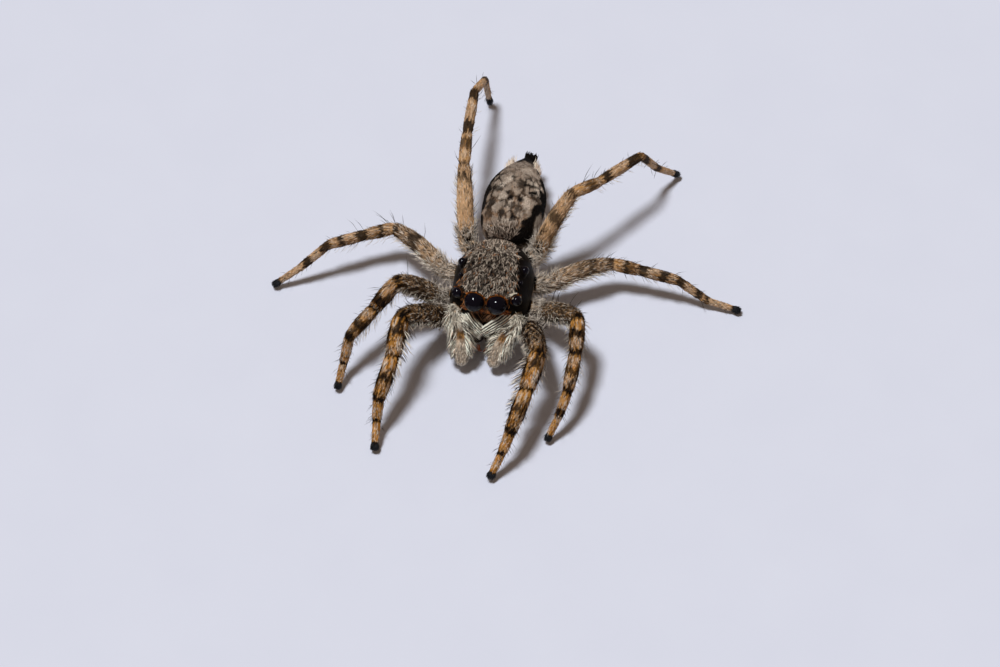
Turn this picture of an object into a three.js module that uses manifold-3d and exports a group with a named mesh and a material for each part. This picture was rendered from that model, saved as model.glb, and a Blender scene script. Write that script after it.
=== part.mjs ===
// Grey wall jumper, a jumping spider, standing on its eight feet.
// Millimetres, +Z up. The spider faces -Y and its own left side is +X.
// Each part is a solid out to the tips of its short hairs.

import * as THREE from 'three';
import { mergeVertices } from 'three/addons/utils/BufferGeometryUtils.js';
import Module from 'manifold-3d';

const wasm = await Module();
wasm.setup();

const GAP = 0.03;
const SLIVER = 0.012;
const THINNEST = 0.25;
const FOOT_CENTRE = 0.17;
const UP = new THREE.Vector3(0, 1, 0);

const CARAPACE = {
  widestY: -0.1,
  front: 1.52,
  rear: 1.41,
  halfWidth: 1.23,
  marginZ: 1.13,
  topZ: 2.36,
  lip: 0.36,
  lipStart: -0.95,
  lipEnd: -1.6,
};

const ABDOMEN = {
  widestY: 2.8,
  front: 1.62,
  rear: 2.2,
  halfWidth: 1.0,
  halfHeight: 0.84,
  centreZ: 1.36,
  tailZ: 1.12,
  shiftX: 0.11,
  tailX: 0.16,
};

const STERNUM = { y: -0.1, z: 0.86, halfWidth: 0.78, halfLength: 1.32, halfHeight: 0.34 };
const COXA = { innerX: 0.45, innerZ: 0.84, radius: 0.31 };

const EYES = {
  front_median: { x: 0.336, y: -1.56, z: 2.12, radius: 0.31 },
  front_lateral: { x: 0.88, y: -1.34, z: 2.17, radius: 0.175 },
  middle: { x: 0.9, y: -0.68, z: 2.16, radius: 0.07 },
  rear_lateral: { x: 0.93, y: -0.22, z: 2.17, radius: 0.14 },
};

const CHELICERA = { topX: 0.29, topY: -1.32, topZ: 1.5, tipX: 0.2, tipY: -1.92, tipZ: 0.6, radius: 0.27 };

const PALP = {
  base: [0.58, -1.12, 1.02],
  knee: [0.98, -1.5, 1.5],
  wrist: { left: [0.6, -1.93, 1.03], right: [0.66, -2.06, 1.05] },
  tip: { left: [0.35, -2.57, 0.39], right: [0.52, -2.66, 0.38] },
  radii: [0.25, 0.26, 0.28, 0.34, 0.25],
};

// Hip point on the left side, lengths and radii of each pair of legs, from the hip outward.
const SEGMENTS = ['femur', 'patella', 'tibia', 'metatarsus', 'tarsus'];

const PAIRS = {
  1: { hip: [1.3, -1.45, 1.0], lengths: [2.15, 1.2, 1.3, 0.7, 0.9], bow: 0.1, radii: [0.28, 0.35, 0.3, 0.28, 0.25] },
  2: { hip: [1.6, -0.8, 1.0], lengths: [1.95, 1.0, 1.15, 0.85, 0.85], bow: 0.12, radii: [0.27, 0.31, 0.28, 0.26, 0.25] },
  3: { hip: [1.6, 0.25, 1.0], lengths: [1.95, 0.85, 1.2, 1.15, 1.0], bow: 0.2, radii: [0.26, 0.3, 0.26, 0.25, 0.25] },
  4: { hip: [1.1, 1.3, 1.05], lengths: [2.35, 1.05, 1.75, 1.55, 1.3], bow: 0.16, radii: [0.26, 0.29, 0.25, 0.25, 0.25] },
};

// Degrees, as [yaw, pitch] for each segment: yaw 0 points straight out to the leg's own side and
// 90 points forward, pitch 90 points up. The tarsus has only a yaw, as it reaches for the floor.
const STANCE = {
  left_1: { turns: [[72, 35], [98, -18], [102, -20], [113, -52]], tarsusYaw: 120 },
  left_2: { turns: [[38, 40], [84, -19], [92, -26], [107, -43]], tarsusYaw: 121 },
  left_3: { turns: [[-28, 7], [-1, -9], [5, -5], [6, -36]], tarsusYaw: 5 },
  left_4: { turns: [[-47, 58], [-50, -18], [-52, -7], [-57, -60]], tarsusYaw: -48 },
  right_1: { turns: [[51, 42], [87, -25], [79, -29], [88, -64]], tarsusYaw: 95 },
  right_2: { turns: [[33, 49], [46, -40], [57, -17], [73, -62]], tarsusYaw: 81 },
  right_3: { turns: [[-30, 13], [23, -4], [29, 1], [31, -38]], tarsusYaw: 28 },
  right_4: { turns: [[-78, 34], [-85, 7], [-87, -4], [-95, -36]], tarsusYaw: -138 },
};

const COLOURS = {
  coat: { color: 0x8d7f70, roughness: 0.85, metalness: 0 },
  leg: { color: 0x9a7a55, roughness: 0.8, metalness: 0 },
  foot: { color: 0x4a3d30, roughness: 0.75, metalness: 0 },
  pale: { color: 0xcfc3ac, roughness: 0.9, metalness: 0 },
  dark: { color: 0x2a211c, roughness: 0.6, metalness: 0 },
  eye: { color: 0x0b0a0f, roughness: 0.08, metalness: 0 },
};

function solidOf(geometry) {
  const bare = geometry.clone();
  bare.deleteAttribute('normal');
  bare.deleteAttribute('uv');
  const merged = mergeVertices(bare, 1e-5);
  const vertProperties = new Float32Array(merged.attributes.position.array);
  const triVerts = new Uint32Array(merged.index.array);
  return new wasm.Manifold(new wasm.Mesh({ numProp: 3, vertProperties, triVerts }));
}

// The slivers that cuts leave are folded away before a solid becomes a mesh.
function geometryOf(solid) {
  const cut = mainPiece(solid.simplify(SLIVER)).getMesh();
  const geometry = new THREE.BufferGeometry();
  geometry.setAttribute('position', new THREE.BufferAttribute(new Float32Array(cut.vertProperties), 3));
  geometry.setIndex(new THREE.BufferAttribute(new Uint32Array(cut.triVerts), 1));
  geometry.computeVertexNormals();
  return geometry;
}

// A sphere whose every point is moved by a rule: the rule gets the share of the way along the
// part, -1 to 1, and the angle round it, and gives the new point.
function shapedBody(around, along, rule) {
  const sphere = new THREE.SphereGeometry(1, around, along);
  const place = sphere.attributes.position;
  for (let i = 0; i < place.count; i += 1) {
    const share = 2 * sphere.attributes.uv.getY(i) - 1;
    const angle = Math.atan2(place.getZ(i), place.getX(i));
    const point = rule(share, angle);
    place.setXYZ(i, point.x, point.y, point.z);
  }
  return sphere;
}

// Radius at a share of the way from the widest place to the end of a blunt form.
const blunt = (share, power) => Math.pow(Math.max(0, 1 - Math.pow(share, power)), 1 / power);

// A point on a rounded box outline of half width 1 and half height 1.
function roundedSection(angle, power) {
  const c = Math.cos(angle);
  const s = Math.sin(angle);
  const reach = Math.pow(Math.pow(Math.abs(c), power) + Math.pow(Math.abs(s), power), -1 / power);
  return { across: c * reach, up: s * reach };
}

// A round limb between two points, thickening from its first radius to its middle one and
// thinning again to its last, with round ends that reach past the points.
function limb(from, to, radii, sides = 8, bow = 0) {
  const [first, middle, last] = radii;
  const length = from.distanceTo(to);
  const profile = [];
  const steps = bow ? 8 : 4;
  const capAngles = [0, 30, 60];
  for (const degrees of capAngles) {
    const turn = THREE.MathUtils.degToRad(degrees);
    profile.push(new THREE.Vector2(first * Math.sin(turn), -first * Math.cos(turn)));
  }
  for (let i = 0; i <= steps; i += 1) {
    const share = i / steps;
    const straight = first + (last - first) * share;
    const swell = (middle - (first + last) / 2) * Math.sin(Math.PI * share);
    profile.push(new THREE.Vector2(straight + swell, length * share));
  }
  for (const degrees of capAngles.toReversed()) {
    const turn = THREE.MathUtils.degToRad(degrees);
    profile.push(new THREE.Vector2(last * Math.sin(turn), length + last * Math.cos(turn)));
  }
  const geometry = new THREE.LatheGeometry(profile, sides);
  geometry.applyQuaternion(new THREE.Quaternion().setFromUnitVectors(UP, to.clone().sub(from).normalize()));
  geometry.translate(from.x, from.y, from.z);
  if (bow) bend(geometry, from, to, bow);
  return solidOf(geometry);
}

// Lifts a limb's middle off the line between its ends by a parabola, square to that line.
function bend(geometry, from, to, bow) {
  const run = to.clone().sub(from);
  const rise = new THREE.Vector3(0, 0, 1).addScaledVector(run, -run.z / run.lengthSq()).normalize();
  const place = geometry.attributes.position;
  const point = new THREE.Vector3();
  for (let i = 0; i < place.count; i += 1) {
    point.fromBufferAttribute(place, i);
    const share = THREE.MathUtils.clamp(point.clone().sub(from).dot(run) / run.lengthSq(), 0, 1);
    point.addScaledVector(rise, 4 * bow * share * (1 - share));
    place.setXYZ(i, point.x, point.y, point.z);
  }
}

function ball(centre, radius, around = 12, along = 8) {
  const geometry = new THREE.SphereGeometry(radius, around, along);
  geometry.translate(centre.x, centre.y, centre.z);
  return solidOf(geometry);
}

// Keeps what lies ahead of a plane through the point, half a gap clear of it.
function keepAhead(solid, point, normal) {
  return solid.trimByPlane([normal.x, normal.y, normal.z], point.dot(normal) + GAP / 2);
}

// The largest of the pieces that a cut leaves.
const mainPiece = (solid) => solid.decompose().reduce((a, b) => (b.volume() > a.volume() ? b : a));

// Takes a larger copy of each tool out of a solid, so that they stay a gap apart.
function clearOf(solid, tools) {
  let left = solid;
  for (const tool of tools) {
    const box = tool.boundingBox();
    const middle = box.min.map((low, i) => (low + box.max[i]) / 2);
    const scale = box.min.map((low, i) => 1 + (2 * GAP) / (box.max[i] - low));
    const larger = tool
      .translate(middle.map((v) => -v))
      .scale(scale)
      .translate(middle);
    left = mainPiece(left.subtract(larger));
  }
  return left;
}

function carapaceShell() {
  const c = CARAPACE;
  const geometry = shapedBody(26, 14, (share, angle) => {
    const ahead = share < 0;
    const y = c.widestY + share * (ahead ? c.front : c.rear);
    const t = Math.abs(share);
    const width = c.halfWidth * blunt(t, ahead ? 4 : 2.3);
    const height = (c.topZ - c.marginZ) * blunt(t, ahead ? 5 : 2.1);
    const section = roundedSection(angle, 2.8);
    const rise = THREE.MathUtils.smoothstep(c.lipStart - y, 0, c.lipStart - c.lipEnd);
    const lip = c.lip * rise;
    const lift = section.up > 0 ? lip + section.up * Math.max(0, height - lip) : lip + section.up * 0.06;
    return { x: section.across * width, y, z: c.marginZ + lift };
  });
  return solidOf(geometry);
}

function abdomenSac() {
  const a = ABDOMEN;
  const geometry = shapedBody(20, 14, (share, angle) => {
    const ahead = share < 0;
    const t = Math.abs(share);
    const y = a.widestY + share * (ahead ? a.front : a.rear);
    const fullness = ahead ? blunt(t, 3) : Math.pow(Math.max(0, 1 - t * t), 1.5);
    const section = roundedSection(angle, 2.2);
    const tail = ahead ? 0 : t;
    const shift = a.shiftX + a.tailX * tail ** 4;
    const centre = a.centreZ + (a.tailZ - a.centreZ) * tail * tail;
    return {
      x: shift + section.across * a.halfWidth * fullness,
      y,
      z: centre + section.up * a.halfHeight * fullness,
    };
  });
  return solidOf(geometry);
}

function sternumPlate() {
  const s = STERNUM;
  const geometry = shapedBody(16, 9, (share, angle) => {
    const section = roundedSection(angle, 2.4);
    const fullness = blunt(Math.abs(share), 2.6);
    return {
      x: section.across * s.halfWidth * fullness,
      y: s.y + share * s.halfLength,
      z: s.z + section.up * s.halfHeight * fullness,
    };
  });
  return solidOf(geometry);
}

const heading = (side, yaw, pitch) => {
  const turn = THREE.MathUtils.degToRad(yaw);
  const rise = THREE.MathUtils.degToRad(pitch);
  const flat = Math.cos(rise);
  return new THREE.Vector3(side * flat * Math.cos(turn), -flat * Math.sin(turn), Math.sin(rise));
};

// The joints of one leg, from the hip to the middle of the foot's tip.
function legJoints(side, pair, stance) {
  const joints = [new THREE.Vector3(side * pair.hip[0], pair.hip[1], pair.hip[2])];
  stance.turns.forEach(([yaw, pitch], i) => {
    const step = heading(side, yaw, pitch).multiplyScalar(pair.lengths[i]);
    joints.push(joints[i].clone().add(step));
  });
  const ankle = joints[4];
  const drop = Math.min(1, (ankle.z - FOOT_CENTRE) / pair.lengths[4]);
  const pitch = -THREE.MathUtils.radToDeg(Math.asin(drop));
  const reach = heading(side, stance.tarsusYaw, pitch).multiplyScalar(pair.lengths[4]);
  joints.push(ankle.clone().add(reach));
  return joints;
}

const between = (a, b) => b.clone().sub(a).normalize();

// The plane that halves the bend between two segments.
const bendNormal = (inward, outward) => inward.clone().add(outward).normalize();

const coxaRoot = (joints) => new THREE.Vector3(
  Math.sign(joints[0].x) * COXA.innerX,
  joints[0].y * 0.62,
  COXA.innerZ,
);

function coxa(joints) {
  const root = coxaRoot(joints);
  const whole = limb(root, joints[0], [COXA.radius, COXA.radius, COXA.radius * 0.85], 6);
  const normal = bendNormal(between(root, joints[0]), between(joints[0], joints[1]));
  return keepAhead(whole, joints[0], normal.negate());
}

function segmentRadii(pair, index) {
  const slim = (r) => Math.max(THINNEST, r);
  const middle = pair.radii[index];
  if (index === 0) {
    return [slim(middle), slim(pair.radii[1]), slim(pair.radii[1] * 0.86)];
  }
  const shape = {
    1: [0.95, 1.03, 0.96],
    2: [0.95, 1.04, 0.92],
    3: [1, 1, 1],
    4: [1, 1, 1],
  };
  const own = pair.radii[Math.min(index + 1, 4)];
  return shape[index].map((k) => slim(own * k));
}

function legSegment(joints, pair, index) {
  let solid = limb(joints[index], joints[index + 1], segmentRadii(pair, index), 8, index === 0 ? pair.bow : 0);
  const along = between(joints[index], joints[index + 1]);
  const before = index === 0 ? coxaRoot(joints) : joints[index - 1];
  const inward = between(before, joints[index]);
  solid = keepAhead(solid, joints[index], bendNormal(inward, along));
  if (index < 4) {
    const onward = between(joints[index + 1], joints[index + 2]);
    return keepAhead(solid, joints[index + 1], bendNormal(along, onward).negate());
  }
  return solid.trimByPlane([0, 0, 1], 0);
}

function eyeBall(name, side) {
  const eye = EYES[name];
  const coarse = eye.radius < 0.1;
  return ball(new THREE.Vector3(side * eye.x, eye.y, eye.z), eye.radius, coarse ? 7 : 12, coarse ? 5 : 8);
}

function chelicera(side) {
  const c = CHELICERA;
  const top = new THREE.Vector3(side * c.topX, c.topY, c.topZ);
  const tip = new THREE.Vector3(side * c.tipX, c.tipY, c.tipZ);
  const whole = limb(top, tip, [c.radius, c.radius * 0.98, c.radius * 0.7]);
  return keepAhead(whole, new THREE.Vector3(), new THREE.Vector3(side, 0, 0));
}

function palp(sideName, side) {
  const point = ([x, y, z]) => new THREE.Vector3(side * x, y, z);
  const [atBase, atKnee, atWrist, atEnd, atTip] = PALP.radii;
  const knee = point(PALP.knee);
  const wrist = point(PALP.wrist[sideName]);
  const thigh = limb(point(PALP.base), knee, [atBase, atBase, atKnee]);
  const shin = limb(knee, wrist, [atKnee, atKnee, atWrist]);
  const end = limb(wrist, point(PALP.tip[sideName]), [atWrist, atEnd, atTip]);
  return thigh.add(shin).add(end);
}

function spinnerets() {
  const tail = ABDOMEN.widestY + ABDOMEN.rear;
  const middle = ABDOMEN.shiftX + ABDOMEN.tailX;
  const spread = 0.13;
  let solid = null;
  for (const [across, up] of [[-1, 0.4], [1, 0.4], [0, -0.8]]) {
    const root = new THREE.Vector3(middle + across * spread * 0.6, tail - 0.38, ABDOMEN.tailZ + up * spread * 0.6);
    const tip = new THREE.Vector3(middle + across * spread, tail - 0.06, ABDOMEN.tailZ + up * spread);
    const finger = limb(root, tip, [0.13, 0.13, 0.09], 6);
    solid = solid ? solid.add(finger) : finger;
  }
  return solid;
}

function pedicel() {
  const from = new THREE.Vector3(0, CARAPACE.widestY + CARAPACE.rear - 0.5, 1.1);
  const to = new THREE.Vector3(ABDOMEN.shiftX, ABDOMEN.widestY - ABDOMEN.front + 0.3, 1.16);
  return limb(from, to, [0.25, 0.25, 0.25]);
}

const spider = new THREE.Group();
const materials = Object.fromEntries(
  Object.entries(COLOURS).map(([name, look]) => [name, new THREE.MeshStandardMaterial(look)]),
);

function addPart(name, solid, look) {
  const mesh = new THREE.Mesh(geometryOf(solid), materials[look].clone());
  mesh.name = name;
  spider.add(mesh);
}

const SIDES = { left: 1, right: -1 };
const legs = Object.entries(STANCE).map(([name, stance]) => {
  const [sideName, number] = name.split('_');
  const pair = PAIRS[number];
  return { name, pair, joints: legJoints(SIDES[sideName], pair, stance) };
});

const eyes = Object.keys(EYES).flatMap((eyeName) => Object.entries(SIDES).map(
  ([sideName, side]) => ({ name: `eye_${eyeName}_${sideName}`, solid: eyeBall(eyeName, side) }),
));
eyes.forEach((eye) => addPart(eye.name, eye.solid, 'eye'));

const carapace = clearOf(carapaceShell(), eyes.map((eye) => eye.solid));
addPart('carapace', carapace, 'coat');

const carapaceWhole = carapaceShell();
const abdomenWhole = abdomenSac();
const spinneretGroup = spinnerets();
addPart('spinnerets', spinneretGroup, 'dark');
addPart('abdomen', clearOf(abdomenWhole, [carapaceWhole, spinneretGroup]), 'coat');

let underside = sternumPlate();
legs.forEach((leg) => {
  underside = underside.add(coxa(leg.joints));
});
underside = clearOf(underside, [carapaceWhole, abdomenWhole]);
addPart('underside', underside, 'pale');
addPart('pedicel', clearOf(pedicel(), [carapaceWhole, abdomenWhole, underside]), 'dark');

legs.forEach((leg) => {
  SEGMENTS.forEach((segment, index) => {
    let solid = legSegment(leg.joints, leg.pair, index);
    if (index === 0) {
      solid = clearOf(solid, [carapaceWhole, abdomenWhole]);
    }
    addPart(`leg_${leg.name}_${segment}`, solid, index === 4 ? 'foot' : 'leg');
  });
});

const femursInFront = legs
  .filter((leg) => leg.name.endsWith('_1'))
  .map((leg) => legSegment(leg.joints, leg.pair, 0));

Object.entries(SIDES).forEach(([sideName, side]) => {
  const jaw = clearOf(chelicera(side), [carapaceWhole, underside]);
  const feeler = clearOf(palp(sideName, side), [carapaceWhole, underside, jaw, ...femursInFront]);
  addPart(`chelicera_${sideName}`, jaw, 'dark');
  addPart(`palp_${sideName}`, feeler, 'pale');
});

// The origin is under the middle of the whole spider, on the floor it stands on.
const bounds = new THREE.Box3().setFromObject(spider);
const centre = bounds.getCenter(new THREE.Vector3());
spider.position.set(-centre.x, -centre.y, -bounds.min.z);

export default spider;
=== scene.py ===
import math
import bpy
import numpy as np
from mathutils import Matrix, Vector


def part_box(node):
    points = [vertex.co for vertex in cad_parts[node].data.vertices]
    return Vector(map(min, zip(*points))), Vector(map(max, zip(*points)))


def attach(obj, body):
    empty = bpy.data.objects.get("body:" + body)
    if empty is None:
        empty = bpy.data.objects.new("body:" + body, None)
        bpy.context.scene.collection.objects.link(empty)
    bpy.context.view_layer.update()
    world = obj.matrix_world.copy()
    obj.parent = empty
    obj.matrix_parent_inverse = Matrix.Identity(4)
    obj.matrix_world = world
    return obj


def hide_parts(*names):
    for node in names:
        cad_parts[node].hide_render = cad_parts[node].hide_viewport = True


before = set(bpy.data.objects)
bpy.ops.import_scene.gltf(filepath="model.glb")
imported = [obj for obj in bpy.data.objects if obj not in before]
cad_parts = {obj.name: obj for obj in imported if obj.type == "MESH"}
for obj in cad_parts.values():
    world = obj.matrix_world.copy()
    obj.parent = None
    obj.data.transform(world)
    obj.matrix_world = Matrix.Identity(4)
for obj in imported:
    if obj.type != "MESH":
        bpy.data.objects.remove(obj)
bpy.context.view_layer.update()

# The spider is drawn in millimetres in its own frame: origin under the carapace, facing -Y, its left +X.
rng = np.random.default_rng(41)
carapaceLow, carapaceHigh = (np.array(corner) * 1000 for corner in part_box("carapace"))
carapaceFront = -1.62
bodyShift = np.array([(carapaceLow[0] + carapaceHigh[0]) / 2, carapaceLow[1] - carapaceFront, 0.0])
sides = {"left": 1, "right": -1}
turn = 2 * math.pi


def unit(v):
    return v / np.maximum(np.linalg.norm(v, axis=-1, keepdims=True), 1e-9)


def dot(a, b):
    return (a * b).sum(-1, keepdims=True)


def fade(low, high, x):
    # a smooth step from 0 at low to 1 at high
    t = np.clip((x - low) / (high - low), 0, 1)
    return t * t * (3 - 2 * t)


def hump(centre, half, x):
    # 1 at the centre, falling smoothly to 0 at half a width away
    return 1 - fade(0, 1, np.abs(x - centre) / half)


def band(low, high, soft, x):
    # 1 between low and high, with soft edges
    return fade(low - soft, low + soft, x) * (1 - fade(high - soft, high + soft, x))


def ripple(points, wave, seed):
    # soft noise from about -1 to 1: the sum of nine sine waves in random directions
    pick = np.random.default_rng(seed)
    ways = unit(pick.normal(size=(9, points.shape[-1])))
    speeds = turn / wave * pick.uniform(0.7, 1.5, 9)
    phases = pick.uniform(0, turn, 9)
    return np.sin(points @ (ways * speeds[:, None]).T + phases).sum(-1) / 3.2


def blunt(share, power):
    # how wide a blunt form is at a share of the way to its end
    return np.maximum(0, 1 - share ** power) ** (1 / power)


def roundedSection(angle, power):
    # a point on a rounded box outline of half width 1 and half height 1
    c, s = np.cos(angle), np.sin(angle)
    reach = (np.abs(c) ** power + np.abs(s) ** power) ** (-1 / power)
    return c * reach, s * reach


def toWorld(points):
    return (np.asarray(points) + bodyShift) * 0.001


def meshFrom(name, verts, faces):
    # verts (n, 3) in scene units, faces (m, 3) or (m, 4)
    mesh = bpy.data.meshes.new(name)
    count = faces.shape[1]
    mesh.vertices.add(len(verts))
    mesh.vertices.foreach_set("co", np.ascontiguousarray(verts, dtype=np.float32).ravel())
    mesh.loops.add(faces.size)
    mesh.loops.foreach_set("vertex_index", faces.astype(np.int32).ravel())
    mesh.polygons.add(len(faces))
    mesh.polygons.foreach_set("loop_start", np.arange(0, faces.size, count, dtype=np.int32))
    mesh.polygons.foreach_set("use_smooth", np.ones(len(faces), dtype=bool))
    mesh.update(calc_edges=True)
    piece = bpy.data.objects.new(name, mesh)
    bpy.context.scene.collection.objects.link(piece)
    return piece


def addPiece(name, verts, faces, finish, slotName, *nodes):
    # a piece of the spider, from points in millimetres
    piece = meshFrom(name, toWorld(verts), faces)
    piece.data.materials.append(finish)
    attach(piece, "root")
    if nodes:
        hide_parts(*nodes)
    return piece


def setMarks(mesh, dark, pale, rust, tone):
    # one colour attribute carries the markings: dark, pale and rust shares, and the tone in its alpha
    marks = mesh.color_attributes.new("marks", "FLOAT_COLOR", "POINT")
    values = np.stack([dark, pale, rust, tone], -1).astype(np.float32)
    marks.data.foreach_set("color", values.ravel())


def closedGrid(points):
    # points (rows, cols, 3): rings that close on themselves, each end filled by a fan round its middle
    rows, cols, _ = points.shape
    r, c = np.meshgrid(np.arange(rows - 1), np.arange(cols), indexing="ij")
    a, b = r * cols + c, r * cols + (c + 1) % cols
    verts = np.concatenate([points.reshape(-1, 3), points[0].mean(0)[None], points[-1].mean(0)[None]])
    ring = np.arange(cols)
    first = np.stack([(ring + 1) % cols, ring, np.full(cols, rows * cols)], -1)
    lastRow = (rows - 1) * cols
    last = np.stack([lastRow + ring, lastRow + (ring + 1) % cols, np.full(cols, rows * cols + 1)], -1)
    faces = np.concatenate([
        np.stack([a, b, b + cols], -1).reshape(-1, 3), np.stack([a, b + cols, a + cols], -1).reshape(-1, 3),
        first, last])
    return verts, facingOut(verts, faces)


def facingOut(verts, faces):
    # a closed form whose volume comes out negative has its faces turned round
    p, q, r = (verts[faces[:, k]] - verts.mean(0) for k in range(3))
    return faces if (p * np.cross(q, r)).sum() > 0 else faces[:, ::-1]


# Carapace, abdomen and breastplate, each a surface of two parameters: a share along it and an angle round it.
carapaceForm = {
    "widestY": -0.1, "front": 1.52, "rear": 1.41, "halfWidth": 1.23, "marginZ": 1.13, "topZ": 2.36,
    "lip": 0.36, "lipStart": -0.95, "lipEnd": -1.6, "inset": 0.05, "widthPower": (4, 2.05),
    "heightPower": (5, 2.1), "sectionPower": (2.8, 2.15),
}


def carapaceSizes(y):
    # half width, height and section power at a place along the body
    f = carapaceForm
    ahead = y < f["widestY"]
    share = np.clip(np.abs(y - f["widestY"]) / (np.where(ahead, f["front"], f["rear"]) - f["inset"]), 0, 1)
    pick = 1 - ahead
    width = (f["halfWidth"] - f["inset"]) * blunt(share, np.take(f["widthPower"], pick))
    height = (f["topZ"] - f["inset"] - f["marginZ"]) * blunt(share, np.take(f["heightPower"], pick))
    power = f["sectionPower"][0] + (f["sectionPower"][1] - f["sectionPower"][0]) * fade(-0.3, 0.9, y)
    return width, height, power


def carapaceSurface(share, angle):
    # a long rounded box, blunt at the face, egg-shaped behind, with a dimple between the halves
    f = carapaceForm
    y = f["widestY"] + share * (np.where(share < 0, f["front"], f["rear"]) - f["inset"])
    width, height, power = carapaceSizes(y)
    across, up = roundedSection(angle, power)
    lip = f["lip"] * fade(0, f["lipStart"] - f["lipEnd"], f["lipStart"] - y)
    lift = np.where(up > 0, lip + up * np.maximum(0, height - lip), lip + up * 0.06)
    dimple = 0.015 * np.exp(-(across * width / 0.06) ** 2 - ((y - 0.2) / 0.22) ** 2)
    z = f["marginZ"] + lift - np.where(up > 0, dimple, 0)
    return np.stack([across * width, y, z], -1)


abdomenForm = {
    "widestY": 2.8, "front": 1.62, "rear": 2.19, "halfWidth": 1.0, "halfHeight": 0.84,
    "centreZ": 1.36, "tailZ": 1.12, "shiftX": 0.11, "tailX": 0.16, "inset": 0.07,
}


def abdomenSizes(y):
    # fullness, and the middle's x and z, at a place along the abdomen
    f = abdomenForm
    ahead = y < f["widestY"]
    t = np.clip(np.abs(y - f["widestY"]) / (np.where(ahead, f["front"], f["rear"]) - f["inset"]), 0, 1)
    fullness = np.where(ahead, blunt(t, 3), (1 - t ** 2) ** 1.5)
    tail = np.where(ahead, 0, t) ** 2
    return fullness, f["shiftX"] + f["tailX"] * tail ** 2, f["centreZ"] + (f["tailZ"] - f["centreZ"]) * tail


def abdomenSurface(share, angle):
    # a soft spindle: round ahead of its widest place, drawn out to a point behind
    f = abdomenForm
    y = f["widestY"] + share * (np.where(share < 0, f["front"], f["rear"]) - f["inset"])
    fullness, x, z = abdomenSizes(y)
    across, up = roundedSection(angle, 2.2)
    return np.stack([x + across * (f["halfWidth"] - f["inset"]) * fullness, y,
                     z + up * (f["halfHeight"] - f["inset"]) * fullness], -1)


sternumForm = {"y": -0.1, "z": 0.86, "halfWidth": 0.74, "halfLength": 1.28, "halfHeight": 0.3}


def sternumSurface(share, angle):
    f = sternumForm
    across, up = roundedSection(angle, 2.4)
    fullness = blunt(np.abs(share), 2.6)
    return np.stack([across * f["halfWidth"] * fullness, f["y"] + share * f["halfLength"],
                     f["z"] + up * f["halfHeight"] * fullness], -1)


def bodyGrid(surface, rows, cols):
    # the rows crowd towards both ends, where the form turns in
    share = -np.cos(np.linspace(0.02, 0.98, rows) * math.pi)[:, None]
    angle = np.linspace(0, turn, cols, endpoint=False)[None, :]
    return closedGrid(surface(*np.broadcast_arrays(share, angle)))


def surfaceRoots(surface, count, seed, keep):
    # random places on a body form, spread evenly over its area, with the normal and the way to the rear
    pick = np.random.default_rng(seed)
    n = count * 8
    share = -np.cos(pick.uniform(0.02, 0.98, n) * math.pi)
    angle = pick.uniform(-math.pi, math.pi, n)
    step = 1e-3
    here = surface(share, angle)
    along = (surface(share + step, angle) - surface(share - step, angle)) / (2 * step)
    around = (surface(share, angle + step) - surface(share, angle - step)) / (2 * step)
    normal = np.cross(around, along)
    area = np.linalg.norm(normal, axis=-1) * np.sqrt(np.maximum(1e-6, 1 - share ** 2))
    normal = -unit(normal)
    chance = area / np.percentile(area, 99) * keep(here, normal)
    order = np.argsort(-chance / np.maximum(1e-9, pick.uniform(0, 1, n)))[:count]
    order = order[chance[order] > 0]
    order = order[np.argsort(pick.uniform(0, 1, len(order)))]
    uv = np.stack([angle[order] / turn + 0.5, 0.5 * (share[order] + 1)], -1)
    return here[order], normal[order], unit(along[order]), uv


# Legs: a path through the joints with round corners, a ring of skin radius along it and a stance.
segmentNames = ["femur", "patella", "tibia", "metatarsus", "tarsus"]
footHeight = 0.17

legPairs = {
    1: {"hip": (1.3, -1.45, 1.0), "lengths": (2.15, 1.2, 1.3, 0.7, 0.9), "bow": 0.1},
    2: {"hip": (1.6, -0.8, 1.0), "lengths": (1.95, 1.0, 1.15, 0.85, 0.85), "bow": 0.12},
    3: {"hip": (1.6, 0.25, 1.0), "lengths": (1.95, 0.85, 1.2, 1.15, 1.0), "bow": 0.2},
    4: {"hip": (1.1, 1.3, 1.05), "lengths": (2.35, 1.05, 1.75, 1.55, 1.3), "bow": 0.16},
}

# skin radius at these places along a leg: 0 is the hip, 1 the knee, 2 to 4 the next joints, 5 the tip
radiusPlaces = [-1, 0, 0.25, 0.6, 0.9, 1.0, 1.12, 1.5, 1.88, 2.0, 2.1, 2.5, 2.9, 3.02, 3.14, 3.6, 3.95, 4.05,
                4.5, 5.0]
legRadii = {
    1: [.27, .26, .28, .28, .24, .21, .26, .28, .235, .2, .22, .235, .2, .16, .165, .155, .14, .125,
        .12, .095],
    2: [.26, .24, .255, .255, .215, .18, .215, .23, .2, .165, .19, .2, .17, .135, .15, .14, .125, .112,
        .105, .085],
    3: [.26, .23, .245, .235, .19, .155, .18, .185, .162, .138, .158, .165, .142, .115, .127, .12, .11, .1,
        .095, .07],
    4: [.26, .22, .24, .235, .19, .15, .175, .18, .155, .13, .152, .16, .135, .11, .122, .115, .108, .098,
        .095, .07],
}

# degrees, as (yaw, pitch): yaw 0 points out to the leg's own side and 90 forward
stances = {
    "left_1": [(72, 35), (98, -18), (102, -20), (113, -52), 120],
    "left_2": [(38, 40), (84, -19), (92, -26), (107, -43), 121],
    "left_3": [(-28, 7), (-1, -9), (5, -5), (6, -36), 5],
    "left_4": [(-47, 58), (-50, -18), (-52, -7), (-57, -60), -48],
    "right_1": [(51, 42), (87, -25), (79, -29), (88, -64), 95],
    "right_2": [(33, 49), (46, -40), (57, -17), (73, -62), 81],
    "right_3": [(-30, 13), (23, -4), (29, 1), (31, -38), 28],
    "right_4": [(-78, 34), (-85, 7), (-87, -4), (-95, -36), -138],
}


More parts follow.
